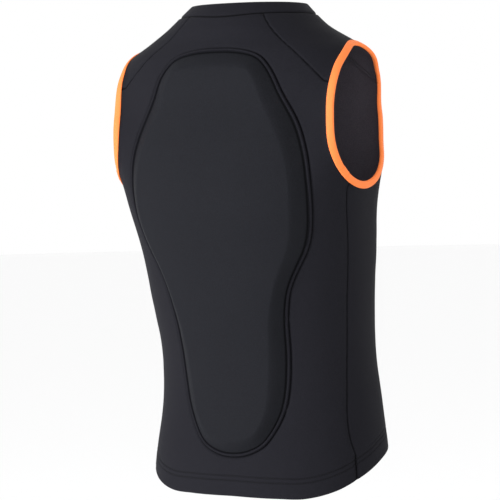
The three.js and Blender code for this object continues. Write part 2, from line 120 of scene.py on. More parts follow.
# Rise of the pad from its edge inwards, as shares of the bevel's width and of the pad's whole rise.
BevelSpot = namedtuple("BevelSpot", "inset rise")
BEVEL = (
    BevelSpot(0, 0),
    BevelSpot(0.1, 0.01),
    BevelSpot(0.16, 0.08),
    BevelSpot(0.92, 0.95),
    BevelSpot(0.99, 0.99),
    BevelSpot(1.07, 1),
    BevelSpot(1.3, 1),
)
BEVEL_ROWS = (
    *(0, 0.04, 0.07, 0.1, 0.13, 0.16, 0.22, 0.34, 0.5, 0.66),
    *(0.8, 0.88, 0.93, 0.97, 1.0, 1.03, 1.07, 1.15, 1.3),
)
# The row of the bevel where the foam core begins.
CORE_ROW = 3

# Bend of the side seam to the back, in degrees round the body, by the share of its way down.
SeamBend = namedtuple("SeamBend", "run turn")
SIDE_SEAM_BEND = (
    SeamBend(0, 0),
    SeamBend(0.14, -0.8),
    SeamBend(0.42, -1.3),
    SeamBend(0.62, -0.6),
    SeamBend(0.74, 1.4),
    SeamBend(0.86, 3.2),
    SeamBend(0.94, 2.4),
    SeamBend(1, 0),
)

# Where the corners of the seams round the back face the side of the pad, as shares of its length.
PAD_STOPS = (PAD_SIDE[0].drop, 0.115, 0.33, PAD_SIDE[-1].drop)

# Share of the half width where the pressed part of the back begins to run out.
FLAT_SHARE = 0.55

ZIP_ANGLE = -90
YOKE_ANGLE = 48.5
YOKE_END_BACK = 25
YOKE_END_FRONT = 155
SIDE_SEAM_START = -68
SIDE_SEAM_ANGLE = 19.5
UNDER_ARM_END = -125
LAP_ANGLE = -50

MILLIMETRE = 0.001
BESIDE = 14 * MILLIMETRE
EDGE_STEP = 1.5 * MILLIMETRE
TURNED_REACH = 15 * MILLIMETRE
FRONT_CURL = 6.5 * MILLIMETRE
FRONT_LIFT = 3 * MILLIMETRE
BACK_FLARE = 2 * MILLIMETRE
BACK_DIP = 2.5 * MILLIMETRE
HEM_BAND = 31 * MILLIMETRE
CORE_GAP = 0.3 * MILLIMETRE
WELT_WIDTH = 4.2 * MILLIMETRE
WELT_HEIGHT = 3.4 * MILLIMETRE
WELT_SEAT = 1.2 * MILLIMETRE
PINCHES = (-0.386, -0.502)
SEAM_ROLL = 2.6 * MILLIMETRE
SEAM_DEPTH = 1.3 * MILLIMETRE
STITCH_PITCH = 3.2 * MILLIMETRE
SEAM_STITCH = 3.2 * MILLIMETRE
ALLOWANCE = 3.2 * MILLIMETRE
HEM_STITCHES = (26 * MILLIMETRE, 20 * MILLIMETRE)
COLLAR_STITCH = 3 * MILLIMETRE
SIDE_STITCH_TOP = -0.24
DENT_DEPTH = 0.6 * MILLIMETRE
DENT_WIDTH = 0.9 * MILLIMETRE
GROOVE_REACH = 2.4 * MILLIMETRE
GROOVE_DEPTH = 1.6 * MILLIMETRE
GROOVE_WIDTH = 1.8 * MILLIMETRE
ELASTIC_WALL = 1.25 * MILLIMETRE

AIM = (0, 0, -0.3)
FLOOR_LEVEL = -1.35
CAMERA_LENS = 143.57
CAMERA_TURN = 28
CAMERA_ROLL = -1.2
CAMERA_DISTANCE = 2.6
CAMERA_HEIGHT = -0.165


def distance(name, description, default):
    return FloatProperty(
        name=name, description=description, default=default, min=0, subtype="DISTANCE", unit="LENGTH"
    )


def colour(name, description, default):
    return FloatVectorProperty(
        name=name, description=description, default=default, min=0, max=1, subtype="COLOR"
    )


class VestShape(bpy.types.PropertyGroup):
    """Lengths and girths of the vest."""

    back_length: distance("Back length", "Collar seam to hem at the centre back", 0.615)
    collar_height: distance("Collar height", "Collar seam to the top of the collar", 0.015)
    collar_dip: distance("Collar dip", "How much lower the collar seam is at the centre back", 0.003)
    hem_rise: distance("Hem rise", "How much higher the hem is in front than at the back", 0.066)
    hem_depth: distance("Hem depth", "Depth of the turned hem", 0.026)
    neck_width: distance("Neck width", "Width of the neck's section", 0.154)
    neck_depth: distance("Neck depth", "Depth of the neck's section", 0.130)
    chest_width: distance("Chest width", "Width of the chest's section", 0.378)
    chest_depth: distance("Chest depth", "Depth of the chest's section", 0.215)
    waist_width: distance("Waist width", "Width of the waist's section", 0.292)
    waist_depth: distance("Waist depth", "Depth of the waist's section", 0.202)
    hip_width: distance("Hip width", "Width of the hips' section", 0.328)
    hip_depth: distance("Hip depth", "Depth of the hips' section", 0.212)
    armhole_height: distance("Armhole height", "Height of the armhole", 0.175)
    armhole_depth: distance("Armhole depth", "Armhole from front to back", 0.156)
    armhole_drop: distance("Armhole drop", "Collar seam to the top of the armhole", 0.041)
    armhole_set_back: distance("Armhole set back", "Armhole's middle behind the neck's", 0.0135)
    armhole_lean: FloatProperty(
        name="Armhole lean", description="Drift to the back by height", default=0.135
    )
    cloth_wall: distance("Cloth wall", "Thickness of the knit cloth", 0.0018)
    binding_width: distance("Binding width", "Width of the elastic on each face of the cloth", 0.0076)
    zip_width: distance("Zip width", "Width of the front zip", 0.016)
    pad_drop: distance("Pad drop", "Collar seam to the top of the pad", 0.046)
    pad_foot: distance("Pad foot", "Hem to the foot of the pad", 0.053)
    pad_width: distance("Pad width", "Width of the pad at its widest", 0.254)
    pad_thickness: distance("Pad thickness", "Height of the pad over the back", 0.014)
    bevel_width: distance("Bevel width", "Edge of the pad to its flat middle", 0.022)
    cover_wall: distance("Cover wall", "Thickness of the pad's cover", 0.0014)


class VestFinish(bpy.types.PropertyGroup):
    """Colours of the vest and its floor."""

    knit: colour("Knit", "Stretch knit of the panels", (0.0076, 0.0075, 0.0098))
    pad: colour("Pad cover", "Knit over the foam", (0.0076, 0.0079, 0.0098))
    # Painted light: the inner face is much lighter than the knit, standing in for light falling
    # inside the armholes.
    inner_face_painted_light: colour("Lining", "Inner face of the panels", (0.050, 0.046, 0.056))
    thread: colour("Thread", "Sewing thread of the panels", (0.006, 0.006, 0.007))
    binding: colour("Binding", "Elastic round the armholes", (0.76, 0.188, 0.045))
    # Painted light: the elastic's emission brightens it where shade falls, as if lit.
    painted_glow: FloatProperty(
        name="Glow", description="Glow of the fluorescent dye in the elastic", default=0.3, min=0
    )
    zip_tape: colour("Zip", "Tape and coil of the zip", (0.012, 0.012, 0.013))
    foam: colour("Foam", "Core of the protector", (0.05, 0.055, 0.06))
    floor: colour("Floor", "Floor of the stage", (0.96, 0.96, 0.96))


# Curves and grids


def along(table, source, target, at):
    """Column target of a table where column source is at, on a smooth curve through its rows."""
    x = np.array([getattr(row, source) for row in table], float)
    y = np.array([getattr(row, target) for row in table], float)
    run = np.diff(x)
    slope = np.diff(y) / run
    inner = (slope[:-1] * run[1:] + slope[1:] * run[:-1]) / (run[1:] + run[:-1])
    tangent = np.concatenate([slope[:1], inner, slope[-1:]])
    i = np.clip(np.searchsorted(x, at) - 1, 0, len(run) - 1)
    t = (at - x[i]) / run[i]
    rest = 1 - t
    start = (1 + 2 * t) * rest * rest * y[i] + t * rest * rest * run[i] * tangent[i]
    end = t * t * (3 - 2 * t) * y[i + 1] - t * t * rest * run[i] * tangent[i + 1]
    return start + end


def smooth(low, high, at):
    """0 below low and 1 above high, with a soft rise between them."""
    t = np.clip((at - low) / (high - low), 0, 1)
    return t * t * (3 - 2 * t)


def hump(at, middle, width):
    """1 at the middle, and nothing a few widths away."""
    return np.exp(-(((at - middle) / width) ** 2))


def spots(angle, z):
    """An array of places on the body, each an angle round it in radians and a height."""
    return np.stack(np.broadcast_arrays(angle, z), axis=-1).astype(float)


def line(start, end, count=60):
    share = np.linspace(0, 1, count + 1)[:, None]
    return (1 - share) * start + share * end


def chain(*rows):
    return np.concatenate([row if i == 0 else row[1:] for i, row in enumerate(rows)])


def rounded(loop, times):
    """Softens the corners of a closed loop of points."""
    for _ in range(times):
        loop = (np.roll(loop, 1, axis=0) + 2 * loop + np.roll(loop, -1, axis=0)) / 4
    return loop


def run_of(points):
    """Length along a line of points up to each of them."""
    steps = np.linalg.norm(np.diff(points, axis=0), axis=-1)
    return np.concatenate([[0], np.cumsum(steps)])


def crowded(length, features, fine=0.8 * MILLIMETRE, coarse=4 * MILLIMETRE, growth=0.2):
    """Shares of a length whose steps are short near its features, such as seams."""
    places = [0.0]
    while places[-1] < length:
        near = min(abs(places[-1] - feature) for feature in features)
        places.append(places[-1] + min(coarse, fine + growth * near))
    return np.array(places) / places[-1]


def span(top, foot, left, right, across, down):
    """Fills the patch between four edges, at shares across and down it."""
    u = across[None, :, None]
    v = down[:, None, None]
    sides = (1 - u) * left[:, None] + u * right[:, None]
    ends = (1 - v) * top[None] + v * foot[None]
    top_corners = (1 - u) * top[0] + u * top[-1]
    foot_corners = (1 - u) * foot[0] + u * foot[-1]
    return sides + ends - (1 - v) * top_corners - v * foot_corners


def mirrored(where):
    """The same spots on the other half of the body."""
    return where * (-1, 1) + (math.pi, 0)


def tree_of(marks):
    tree = kdtree.KDTree(len(marks))
    for i, mark in enumerate(marks):
        tree.insert(mark, i)
    tree.balance()
    return tree


def nearness(points, marks):
    """Distance from each point to the nearest of the marks."""
    tree = tree_of(marks)
    flat = [tree.find(point)[2] for point in points.reshape(-1, 3)]
    return np.array(flat).reshape(points.shape[:-1])


# Shape of the vest


class Pattern:
    """The shape of the worn cloth, and the lines of its seams on the wearer's left half."""

    def __init__(self, shape):
        self.shape = shape
        self.girths = {
            "neck": (shape.neck_width, shape.neck_depth),
            "chest": (shape.chest_width, shape.chest_depth),
            "waist": (shape.waist_width, shape.waist_depth),
            "hip": (shape.hip_width, shape.hip_depth),
        }
        rows = [self.sized(COLLAR_TOP, -shape.collar_height)]
        rows += [self.sized(row, row.drop * shape.back_length) for row in BODY_SECTIONS]
        self.sections = rows
        self.pad_length = shape.back_length - shape.pad_drop - shape.pad_foot
        self.map_cloth()
        edge = self.arm_edge(0, 360, 360)
        self.arm_angles = np.linspace(0, 360, 361)
        self.arm_marks = self.surface(edge)

    def sized(self, row, fall):
        width, depth = self.girths[row.girth]
        shares = (row.back, row.front, row.lean, row.flat)
        back, front, lean, flat = (share * depth for share in shares)
        return Section(fall, row.girth, row.half * width, back, front, lean, row.square, flat)

    def section(self, z):
        keys = ("half", "back", "front", "lean", "square")
        return [along(self.sections, "drop", key, -z) for key in keys]

    def pressed(self, x, z, behind):
        """How far the cloth is pressed in between the armholes, at distances x from the middle."""
        half, flat = (along(self.sections, "drop", key, -z) for key in ("half", "flat"))
        return flat * behind * (1 - smooth(FLAT_SHARE, 1, np.abs(x) / half))

    def surface(self, where):
        angle, z = where[..., 0], where[..., 1]
        half, back, front, lean, square = self.section(z)
        across, deep = np.cos(angle), np.sin(angle)
        depth = np.where(deep > 0, back, front)
        reach = (np.abs(across / half) ** square + np.abs(deep / depth) ** square) ** (-1 / square)
        x = reach * across
        return np.stack([x, lean + reach * deep - self.pressed(x, z, deep > 0), z], axis=-1)

    def outward(self, where):
        turn, rise = np.array([0.004, 0]), np.array([0, 0.8 * MILLIMETRE])
        around = self.surface(where + turn) - self.surface(where - turn)
        up = self.surface(where + rise) - self.surface(where - rise)
        normal = np.cross(around, up)
        return normal / np.linalg.norm(normal, axis=-1, keepdims=True)

    def spot_near(self, points):
        x, y, z = np.moveaxis(points, -1, 0)
        deep = y - self.section(z)[3]
        return spots(np.arctan2(deep + self.pressed(x, z, deep > 0), x), z)

    def spot_across(self, x, z, facing):
        half, back, front, _, square = self.section(z)
        depth = back if facing > 0 else front
        left = np.maximum(0, 1 - np.abs(x / half) ** square) ** (1 / square)
        return spots(np.arctan2(facing * depth * left, x), z)

    def spot_deep(self, y, z):
        half, back, front, lean, square = self.section(z)
        off = y - lean
        depth = np.where(off > 0, back, front)
        left = np.maximum(0, 1 - np.abs(off / depth) ** square) ** (1 / square)
        return spots(np.arctan2(off, half * left), z)

    def sideways(self, path, closed=False):
        """The points of a path, and their directions to its right, seen from outside."""
        points = self.surface(path)
        if closed:
            step = np.roll(points, -1, axis=0) - np.roll(points, 1, axis=0)
        else:
            step = np.gradient(points, axis=0)
        away = np.cross(step, self.outward(path))
        return points, away / np.linalg.norm(away, axis=-1, keepdims=True)

    def aside(self, path, reach, closed=False):
        """The spots so far to the right of a path, at a right angle to it, seen from outside."""
        points, away = self.sideways(path, closed)
        moved = points + away * reach
        for _ in range(3):
            where = self.spot_near(moved)
            outward = self.outward(where)
            above = np.sum((moved - self.surface(where)) * outward, axis=-1, keepdims=True)
            moved = moved - outward * above
        return self.spot_near(moved)

    def divide(self, edge, shares):
        """The spots at shares of the length of an edge."""
        run = run_of(self.surface(edge))
        at = np.asarray(shares) * run[-1]
        return np.stack([np.interp(at, run, edge[:, k]) for k in (0, 1)], axis=-1)

    def length(self, edge):
        return run_of(self.surface(edge))[-1]

    # Seam lines

    def collar_seam(self, start, end, count=80):
        angle = np.linspace(start, end, count + 1)
        centred = np.maximum(0, np.sin(np.radians(angle))) ** 8
        return spots(np.radians(angle), -self.shape.collar_dip * centred)

    def hem(self, angle, above):
        """Spots so far above the hem's edge, by the angle round the body in radians."""
        folded = 90 - np.abs(90 - np.degrees(angle))
        rise = self.shape.hem_rise * along(HEM_LINE, "angle", "rise", folded)
        return spots(angle, rise + above - self.shape.back_length)

    def above_hem(self, where):
        return np.abs(where[..., 1] - self.hem(where[..., 0], 0)[..., 1])

    def zip_edge(self, z):
        return self.spot_across(self.shape.zip_width / 2, z, -1)

    def arm_edge(self, start, end, count=90):
        shape = self.shape
        angle = np.radians(np.linspace(start, end, count + 1))
        up = shape.armhole_height / 2 * np.sin(angle)
        back = shape.armhole_depth / 2 * np.cos(angle) - shape.armhole_lean * up
        level = up - shape.armhole_drop - shape.armhole_height / 2
        return self.spot_deep(shape.armhole_set_back + back, level)

    def beside_arm(self, angle):
        near = self.arm_edge(angle - 1, angle + 1, 2)
        return self.aside(near, BESIDE)[1]

    def yoke_seam(self, facing, to_edge=True):
        collar_end = self.collar_seam(facing * YOKE_ANGLE, facing * YOKE_ANGLE, 0)[0]
        angle = YOKE_END_BACK if facing > 0 else YOKE_END_FRONT
        beside = self.beside_arm(angle)
        seam = line(collar_end, beside)
        return chain(seam, line(beside, self.arm_edge(angle, angle, 0)[0], 12)) if to_edge else seam

    def side_seam(self, low=HEM_BAND):
        """From the armhole to so far above the hem's edge."""
        start = self.arm_edge(SIDE_SEAM_START, SIDE_SEAM_START, 0)[0]
        beside = self.beside_arm(SIDE_SEAM_START)
        foot = self.hem(np.radians(SIDE_SEAM_ANGLE), np.linspace(HEM_BAND, low, 30))
        seam = line(beside, foot[0], 240)
        seam[:, 0] += np.radians(along(SIDE_SEAM_BEND, "run", "turn", np.linspace(0, 1, len(seam))))
        seam = chain(line(start, beside, 12), seam)
        return chain(seam, foot) if low < HEM_BAND else seam

    # Pad

    def pad_point(self, share, drop):
        level = -self.shape.pad_drop - drop * self.pad_length
        return np.stack([share * self.shape.pad_width, level], axis=-1)

    def pad_side(self, drop):
        return self.pad_point(along(PAD_SIDE, "drop", "half", drop), drop)

    def pad_top(self, share):
        top = PAD_SIDE[0]
        return self.pad_point(share * top.half, top.drop * np.abs(share) ** TOP_ARCH)

    def pad_foot(self, share):
        foot = PAD_SIDE[-1]
        return self.pad_point(share * foot.half, 1 - (1 - foot.drop) * np.abs(share) ** FOOT_ARCH)

    def on_back(self, flat):
        return self.spot_across(flat[..., 0], flat[..., 1], 1)

    def pad_loop(self, ends=24, side=170):
        """The pad's outline as a closed loop, from its top down the wearer's left side."""
        share = np.linspace(0, 1, ends + 1)
        drop = np.linspace(PAD_SIDE[0].drop, PAD_SIDE[-1].drop, side + 1)
        half = chain(self.pad_top(share), self.pad_side(drop), self.pad_foot(1 - share))
        return rounded(np.concatenate([half, (half * (-1, 1))[-2:0:-1]]), EDGE_ROUNDING)

    def pad_outline(self):
        loop = self.on_back(self.pad_loop())
        closed = np.concatenate([loop, loop[:1]])
        run = run_of(self.surface(closed))
        at = np.linspace(0, run[-1], int(run[-1] / EDGE_STEP))[:-1]
        return np.stack([np.interp(at, run, closed[:, k]) for k in (0, 1)], axis=-1)

    # Lie of the cloth

    def map_cloth(self):
        """Lengths along the cloth from the centre back and from the collar, on a table of spots."""
        self.map_angles = np.radians(np.linspace(-100, 280, 191))
        self.map_heights = np.linspace(self.shape.collar_height, -self.shape.back_length, 91)
        angle, z = np.meshgrid(self.map_angles, self.map_heights)
        self.map_lengths = cloth_lengths(self.surface(spots(angle, z)))

    def cloth_place(self, where):
        """Where on the cloth spots lie, in metres, so that the knit runs on from panel to panel."""
        i = np.interp(where[..., 0], self.map_angles, np.arange(len(self.map_angles)))
        j = np.interp(-where[..., 1], -self.map_heights, np.arange(len(self.map_heights)))
        i0 = np.minimum(i.astype(int), len(self.map_angles) - 2)
        j0 = np.minimum(j.astype(int), len(self.map_heights) - 2)
        s, t = (i - i0)[..., None], (j - j0)[..., None]
        table = self.map_lengths
        upper = (1 - s) * table[j0, i0] + s * table[j0, i0 + 1]
        lower = (1 - s) * table[j0 + 1, i0] + s * table[j0 + 1, i0 + 1]
        return (1 - t) * upper + t * lower


def settle(points):
    """How far the worn cloth lies outside its smooth shape, at an array of points."""
    flat = points.reshape(-1, 3)
    broad = [noise.noise(Vector(point) * 9) for point in flat]
    fine = [noise.noise(Vector((point[0] * 22, point[1] * 22, point[2] * 40 + 7))) for point in flat]
    return (np.array(broad) * 0.9 + np.array(fine) * 0.25).reshape(points.shape[:-1]) * MILLIMETRE


def turned_edge(pattern, points):
    """How the elastic turns the cloth's edge in at the front of the armhole, and out at its back."""
    tree = tree_of(pattern.arm_marks)
    found = [tree.find((abs(point[0]), point[1], point[2]))[1:] for point in points.reshape(-1, 3)]
    index, reach = (np.array(column).reshape(points.shape[:-1]) for column in zip(*found))
    from_back = 180 - np.abs(180 - pattern.arm_angles[index])
    near = np.maximum(0, 1 - reach / TURNED_REACH) ** 2
    beside = smooth(0, TURNED_REACH, reach) * (1 - smooth(TURNED_REACH, 60 * MILLIMETRE, reach))
    at_front = FRONT_LIFT * beside - FRONT_CURL * near
    at_back = BACK_FLARE * near - BACK_DIP * beside
    return at_front * hump(from_back, 180, 42) + at_back * hump(from_back, 0, 45)


def place(pattern, where, lift=0.0, side=1):
    """Points of the cloth and their outward directions. side is 1 on the wearer's left, else -1."""
    mirror = np.array([side, 1, 1])
    base = pattern.surface(where) * mirror
    outward = pattern.outward(where) * mirror
    height = np.broadcast_to(lift, base.shape[:-1]) + settle(base) + turned_edge(pattern, base)
    return base + outward * height[..., None], outward


# Meshes


def cloth_lengths(points):
    """Lengths across and down a grid of points, in metres, for its UV map."""
    across = np.linalg.norm(np.diff(points, axis=1), axis=-1)
    down = np.linalg.norm(np.diff(points, axis=0), axis=-1)
    u = np.pad(np.cumsum(across, axis=1), ((0, 0), (1, 0)))
    v = np.pad(np.cumsum(down, axis=0), ((1, 0), (0, 0)))
    middle = points.shape[1] // 2
    return np.stack([u - u[:, middle : middle + 1], -v], axis=-1)


def lay_grid(bm, points, outward, painted_shade=0.0, cloth=None):
    """Adds a grid of cloth at rows and columns of points to a bmesh, with its faces outwards."""
    rows, columns = points.shape[:2]
    uv_layer = bm.loops.layers.uv.verify()
    layers = bm.verts.layers.float
    # Each vertex keeps how much painted shade darkens the knit there, where shade falls in seams,
    # stitch rows and hollows.
    painted_shade_layer = layers.get("crease_depth") or layers.new("crease_depth")
    made = bmesh.ops.create_grid(bm, x_segments=columns - 1, y_segments=rows - 1, size=1)
    verts = made["verts"]
    painted_shades = np.broadcast_to(painted_shade, (rows, columns)).ravel()
    lengths = dict(zip(verts, (cloth_lengths(points) if cloth is None else cloth).reshape(-1, 2)))
    for vert, point, depth in zip(verts, points.reshape(-1, 3), painted_shades):
        vert.co = point
        vert[painted_shade_layer] = depth
    directions = dict(zip(verts, outward.reshape(-1, 3)))
    faces = {face for vert in verts for face in vert.link_faces}
    agreement = 0
    for face in faces:
        face.smooth = True
        face.normal_update()
        agreement += face.normal.dot(Vector(directions[face.verts[0]]))
        for loop in face.loops:
            loop[uv_layer].uv = lengths[loop.vert]
    if agreement < 0:
        bmesh.ops.reverse_faces(bm, faces=list(faces))


def finish_piece(name, bm, material, stands_for=(), wall=None, inner_face_painted_light=None):
    """Makes the bmesh an object that rides on the vest's body."""
    bmesh.ops.remove_doubles(bm, verts=bm.verts, dist=0.02 * MILLIMETRE)
    mesh = bpy.data.meshes.new(name)
    bm.to_mesh(mesh)
    bm.free()
    mesh.materials.append(material)
    if inner_face_painted_light:
        mesh.materials.append(inner_face_painted_light)
    piece = bpy.data.objects.new(name, mesh)
    bpy.context.scene.collection.objects.link(piece)
    if wall:
        solidify = piece.modifiers.new("Wall", "SOLIDIFY")
        solidify.thickness = wall
        solidify.offset = -1
        solidify.material_offset = 1 if inner_face_painted_light else 0
    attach(piece, BODY)
    if stands_for:
        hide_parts(*stands_for)
    return piece


def lay_tube(bm, points, outward, radii, flat=1):
    """Adds a thin tube along a line of points. flat is its height as a share of its width."""
    forward = np.gradient(points, axis=0)
    forward /= np.linalg.norm(forward, axis=-1, keepdims=True)
    aside = np.cross(outward, forward)
    turn = np.linspace(0, 2 * math.pi, 7)[:, None, None]
    ring = np.cos(turn) * aside + flat * np.sin(turn) * outward
    lay_grid(bm, points + ring * np.reshape(radii, (-1, 1)), ring)


def sew(bm, points, outward, radius=0.32 * MILLIMETRE, pitch=STITCH_PITCH):
    """Adds a row of stitches along points: a thread that dips into the cloth between them."""
    run = run_of(points)
    count = int(run[-1] / pitch)
    at = np.linspace(0, run[-1], count * 6 + 1)
    proud = np.abs(np.sin(np.pi * at * count / run[-1]))
    thread, up = (
        np.stack([np.interp(at, run, row[:, i]) for i in range(3)], axis=-1)
        for row in (points, outward)
    )
    up /= np.linalg.norm(up, axis=-1, keepdims=True)
    lay_tube(bm, thread + up * (proud[:, None] - 1) * radius * 2.4, up, radius * (0.4 + 0.6 * proud))


# Materials


SOCKETS = {
    "roughness": "Roughness",
    "specular_ior_level": "Specular IOR Level",
    "emission_strength": "Emission Strength",
}


class Shader:
    """A material's node tree, filled by short calls."""

    def __init__(self, name):
        self.material = bpy.data.materials.new(name)
        self.material.use_nodes = True
        self.tree = self.material.node_tree
        self.surface = self.tree.nodes["Principled BSDF"]

    def add(self, kind, inputs=(), **settings):
        node = self.tree.nodes.new(kind)
        for key, value in settings.items():
            setattr(node, key, value)
        for key, value in dict(inputs).items():
            self.join(value, node.inputs[key])
        return node

    def join(self, value, socket):
        if isinstance(value, bpy.types.NodeSocket):
            self.tree.links.new(value, socket)
        else:
            socket.default_value = value

    def math(self, operation, first, second=0.0, third=0.0):
        inputs = {0: first, 1: second, 2: third}
        return self.add("ShaderNodeMath", inputs, operation=operation).outputs[0]

    def wave(self, at, pitch):
        return self.math("SINE", self.math("MULTIPLY", at, 2 * math.pi / pitch))

    def noise(self, vector, scale, detail=2.0):
        inputs = {"Vector": vector, "Scale": scale, "Detail": detail}
        return self.add("ShaderNodeTexNoise", inputs).outputs[0]

    def mix(self, factor, first, second):
        node = self.add("ShaderNodeMix", data_type="RGBA")
        for index, value in ((0, factor), (6, first), (7, second)):
            self.join(value, node.inputs[index])
        return node.outputs[2]

    def bump(self, height, strength, depth, normal=None):
        inputs = {"Height": height, "Strength": strength, "Distance": depth}
        node = self.add("ShaderNodeBump", inputs)
        if normal is not None:
            self.join(normal, node.inputs["Normal"])
        return node.outputs["Normal"]

    def finish(self, base, normal, **values):
        self.join(base, self.surface.inputs["Base Color"])
        if normal is not None:
            self.join(normal, self.surface.inputs["Normal"])
        for key, value in values.items():
            self.surface.inputs[SOCKETS[key]].default_value = value
        return self.material


def shade(base, share):
    return (*(value * share for value in base), 1)


def knit_cloth(name, base, wale=1.3 * MILLIMETRE, course=1.1 * MILLIMETRE):
    """A fine stretch knit of small chevrons, slightly mottled, with painted shade that darkens it in
    the seams' creases.
    """
    shader = Shader(name)
    uv = shader.add("ShaderNodeTexCoord").outputs["UV"]
    position = shader.add("ShaderNodeTexCoord").outputs["Object"]
    split = shader.add("ShaderNodeSeparateXYZ", {0: uv})
    wales = shader.math("FRACT", shader.math("DIVIDE", split.outputs[0], wale))
    slant = shader.math("ABSOLUTE", shader.math("SUBTRACT", wales, 0.5))
    courses = shader.math("ADD", shader.math("DIVIDE", split.outputs[1], course), slant)
    loops = shader.math("SINE", shader.math("MULTIPLY", courses, 2 * math.pi))
    ribs = shader.math("COSINE", shader.math("MULTIPLY", wales, 2 * math.pi))
    yarn = shader.math("MULTIPLY_ADD", ribs, -0.6, loops)
    mottle = shader.noise(position, 420.0, 3.0)
    cloud = shader.noise(position, 28.0, 2.0)
    tone = shader.mix(cloud, shade(base, 0.9), shade(base, 1.1))
    tone = shader.mix(shader.math("MULTIPLY_ADD", yarn, 0.18, 0.3), tone, shade(base, 1.3))
    fleck = shader.math("MULTIPLY_ADD", shader.noise(position, 700.0, 2.0), 2.4, -0.7)
    tone = shader.mix(fleck, tone, shade(base, 1.5))
    # Painted shade: the knit is darkened towards a quarter of its colour by the vertex shade
    # attribute.
    painted_shade = shader.add("ShaderNodeAttribute", attribute_name="crease_depth").outputs["Fac"]
    tone = shader.mix(painted_shade, tone, shade(base, 0.25))
    bumped = shader.bump(yarn, 0.5, 0.12 * MILLIMETRE)
    bumped = shader.bump(mottle, 0.3, 0.35 * MILLIMETRE, bumped)
    return shader.finish(tone, bumped, roughness=0.65, specular_ior_level=0.04)


def elastic(name, base, painted_glow):
    """A ribbed elastic tape, deeper in colour between its ribs. It glows a little: painted light that
    brightens its shaded faces.
    """
    shader = Shader(name)
    uv = shader.add("ShaderNodeTexCoord").outputs["UV"]
    position = shader.add("ShaderNodeTexCoord").outputs["Object"]
    split = shader.add("ShaderNodeSeparateXYZ", {0: uv})
    ribs = shader.wave(split.outputs[0], 1.0 * MILLIMETRE)
    cords = shader.wave(split.outputs[1], 1.3 * MILLIMETRE)
    relief = shader.math("MULTIPLY_ADD", cords, 0.7, ribs)
    worn = shader.noise(position, 160.0, 3.0)
    tone = shader.mix(worn, shade(base, 0.9), shade(base, 1.04))
    level = shader.math("MULTIPLY_ADD", relief, 0.12, 0.2)
    tone = shader.mix(level, tone, (base[0] * 0.85, base[1] * 0.62, base[2] * 0.5, 1))
    bumped = shader.bump(relief, 0.4, 0.12 * MILLIMETRE)
    # Painted light: emission in the elastic's own colour keeps its shaded faces bright.
    shader.surface.inputs["Emission Color"].default_value = (*base, 1)
    return shader.finish(
        tone, bumped, roughness=0.62, specular_ior_level=0.2, emission_strength=painted_glow
    )


def plain_finish(name, base, roughness, grain, depth):
    """A matt finish with a fine grain, for thread, zip tape and foam."""
    shader = Shader(name)
    position = shader.add("ShaderNodeTexCoord").outputs["Object"]
    speck = shader.noise(position, grain, 3.0)
    tone = shader.mix(speck, shade(base, 0.8), shade(base, 1.2))
    bumped = shader.bump(speck, 0.4, depth)
    return shader.finish(tone, bumped, roughness=roughness, specular_ior_level=0.15)


def stock(name, make):
    """A material that is made once and then shared."""
    return bpy.data.materials.get(name) or make()


# Painted light: a lighter copy of the knit, for the panels' inner faces.
def inner_face_painted_light_stock(finish):
    return stock("lining_cloth", lambda: knit_cloth("lining_cloth", tuple(finish.inner_face_painted_light)))


def knit_stock(finish):
    return stock("knit_cloth", lambda: knit_cloth("knit_cloth", tuple(finish.knit)))


def knit_panel(name, node, bm, context):
    """Makes the bmesh a panel of knit cloth with a lighter inner face, painted light for the inside
    seen through the armholes.
    """
    finish = context.scene.vest_finish
    wall = context.scene.vest_shape.cloth_wall
    knit, inner_face_painted_light = knit_stock(finish), inner_face_painted_light_stock(finish)
    return finish_piece(name, bm, knit, [node], wall, inner_face_painted_light)


# Panels


def hem_rows(pattern, top):
    """Rows of spots down to the hem's edge, round its fold and up inside, with their lifts."""
    wall = pattern.shape.cloth_wall
    radius = wall * 1.06
    stitched = [HEM_BAND - stitch for stitch in HEM_STITCHES]
    outer = HEM_BAND * (1 - crowded(HEM_BAND, stitched, 0.7 * MILLIMETRE))
    turned = np.linspace(0, math.pi, 7)[1:]
    inner = np.linspace(0, pattern.shape.hem_depth, 6)[1:]
    fold = radius - radius * np.sin(turned)
    above = np.concatenate([np.maximum(outer, radius), fold, radius + inner])
    drawn = radius * (np.cos(turned) - 1)
    lift = np.concatenate([np.zeros(len(outer)), drawn, np.full(len(inner), -2 * radius)])
    rows = np.stack([pattern.hem(top[:, 0], height) for height in above])
    return rows, np.broadcast_to(lift[:, None], rows.shape[:2]), above


def stitch_dents(reach, rows):
    """How deep a row of stitches draws the cloth in."""
    return sum(-DENT_DEPTH * hump(reach, row, DENT_WIDTH) for row in rows)


def stitch_painted_shade(reach, rows):
    """How much painted shade darkens the cloth along rows of stitches, for the shade attribute."""
    return sum(0.5 * hump(reach, row, 0.8 * MILLIMETRE) for row in rows)


def seam_drop(reach):
    """How far the cloth rolls in towards a seam."""
    return -SEAM_DEPTH * (1 - smooth(0, SEAM_ROLL, reach))


def seam_painted_shade(reach):
    """How much painted shade darkens the cloth next to a seam: 1 in the seam itself."""
    return 1 - smooth(0.2 * MILLIMETRE, 1.4 * MILLIMETRE, reach)


def seam_marks(pattern, lines):
    return np.concatenate([pattern.surface(edge) for edge in lines])


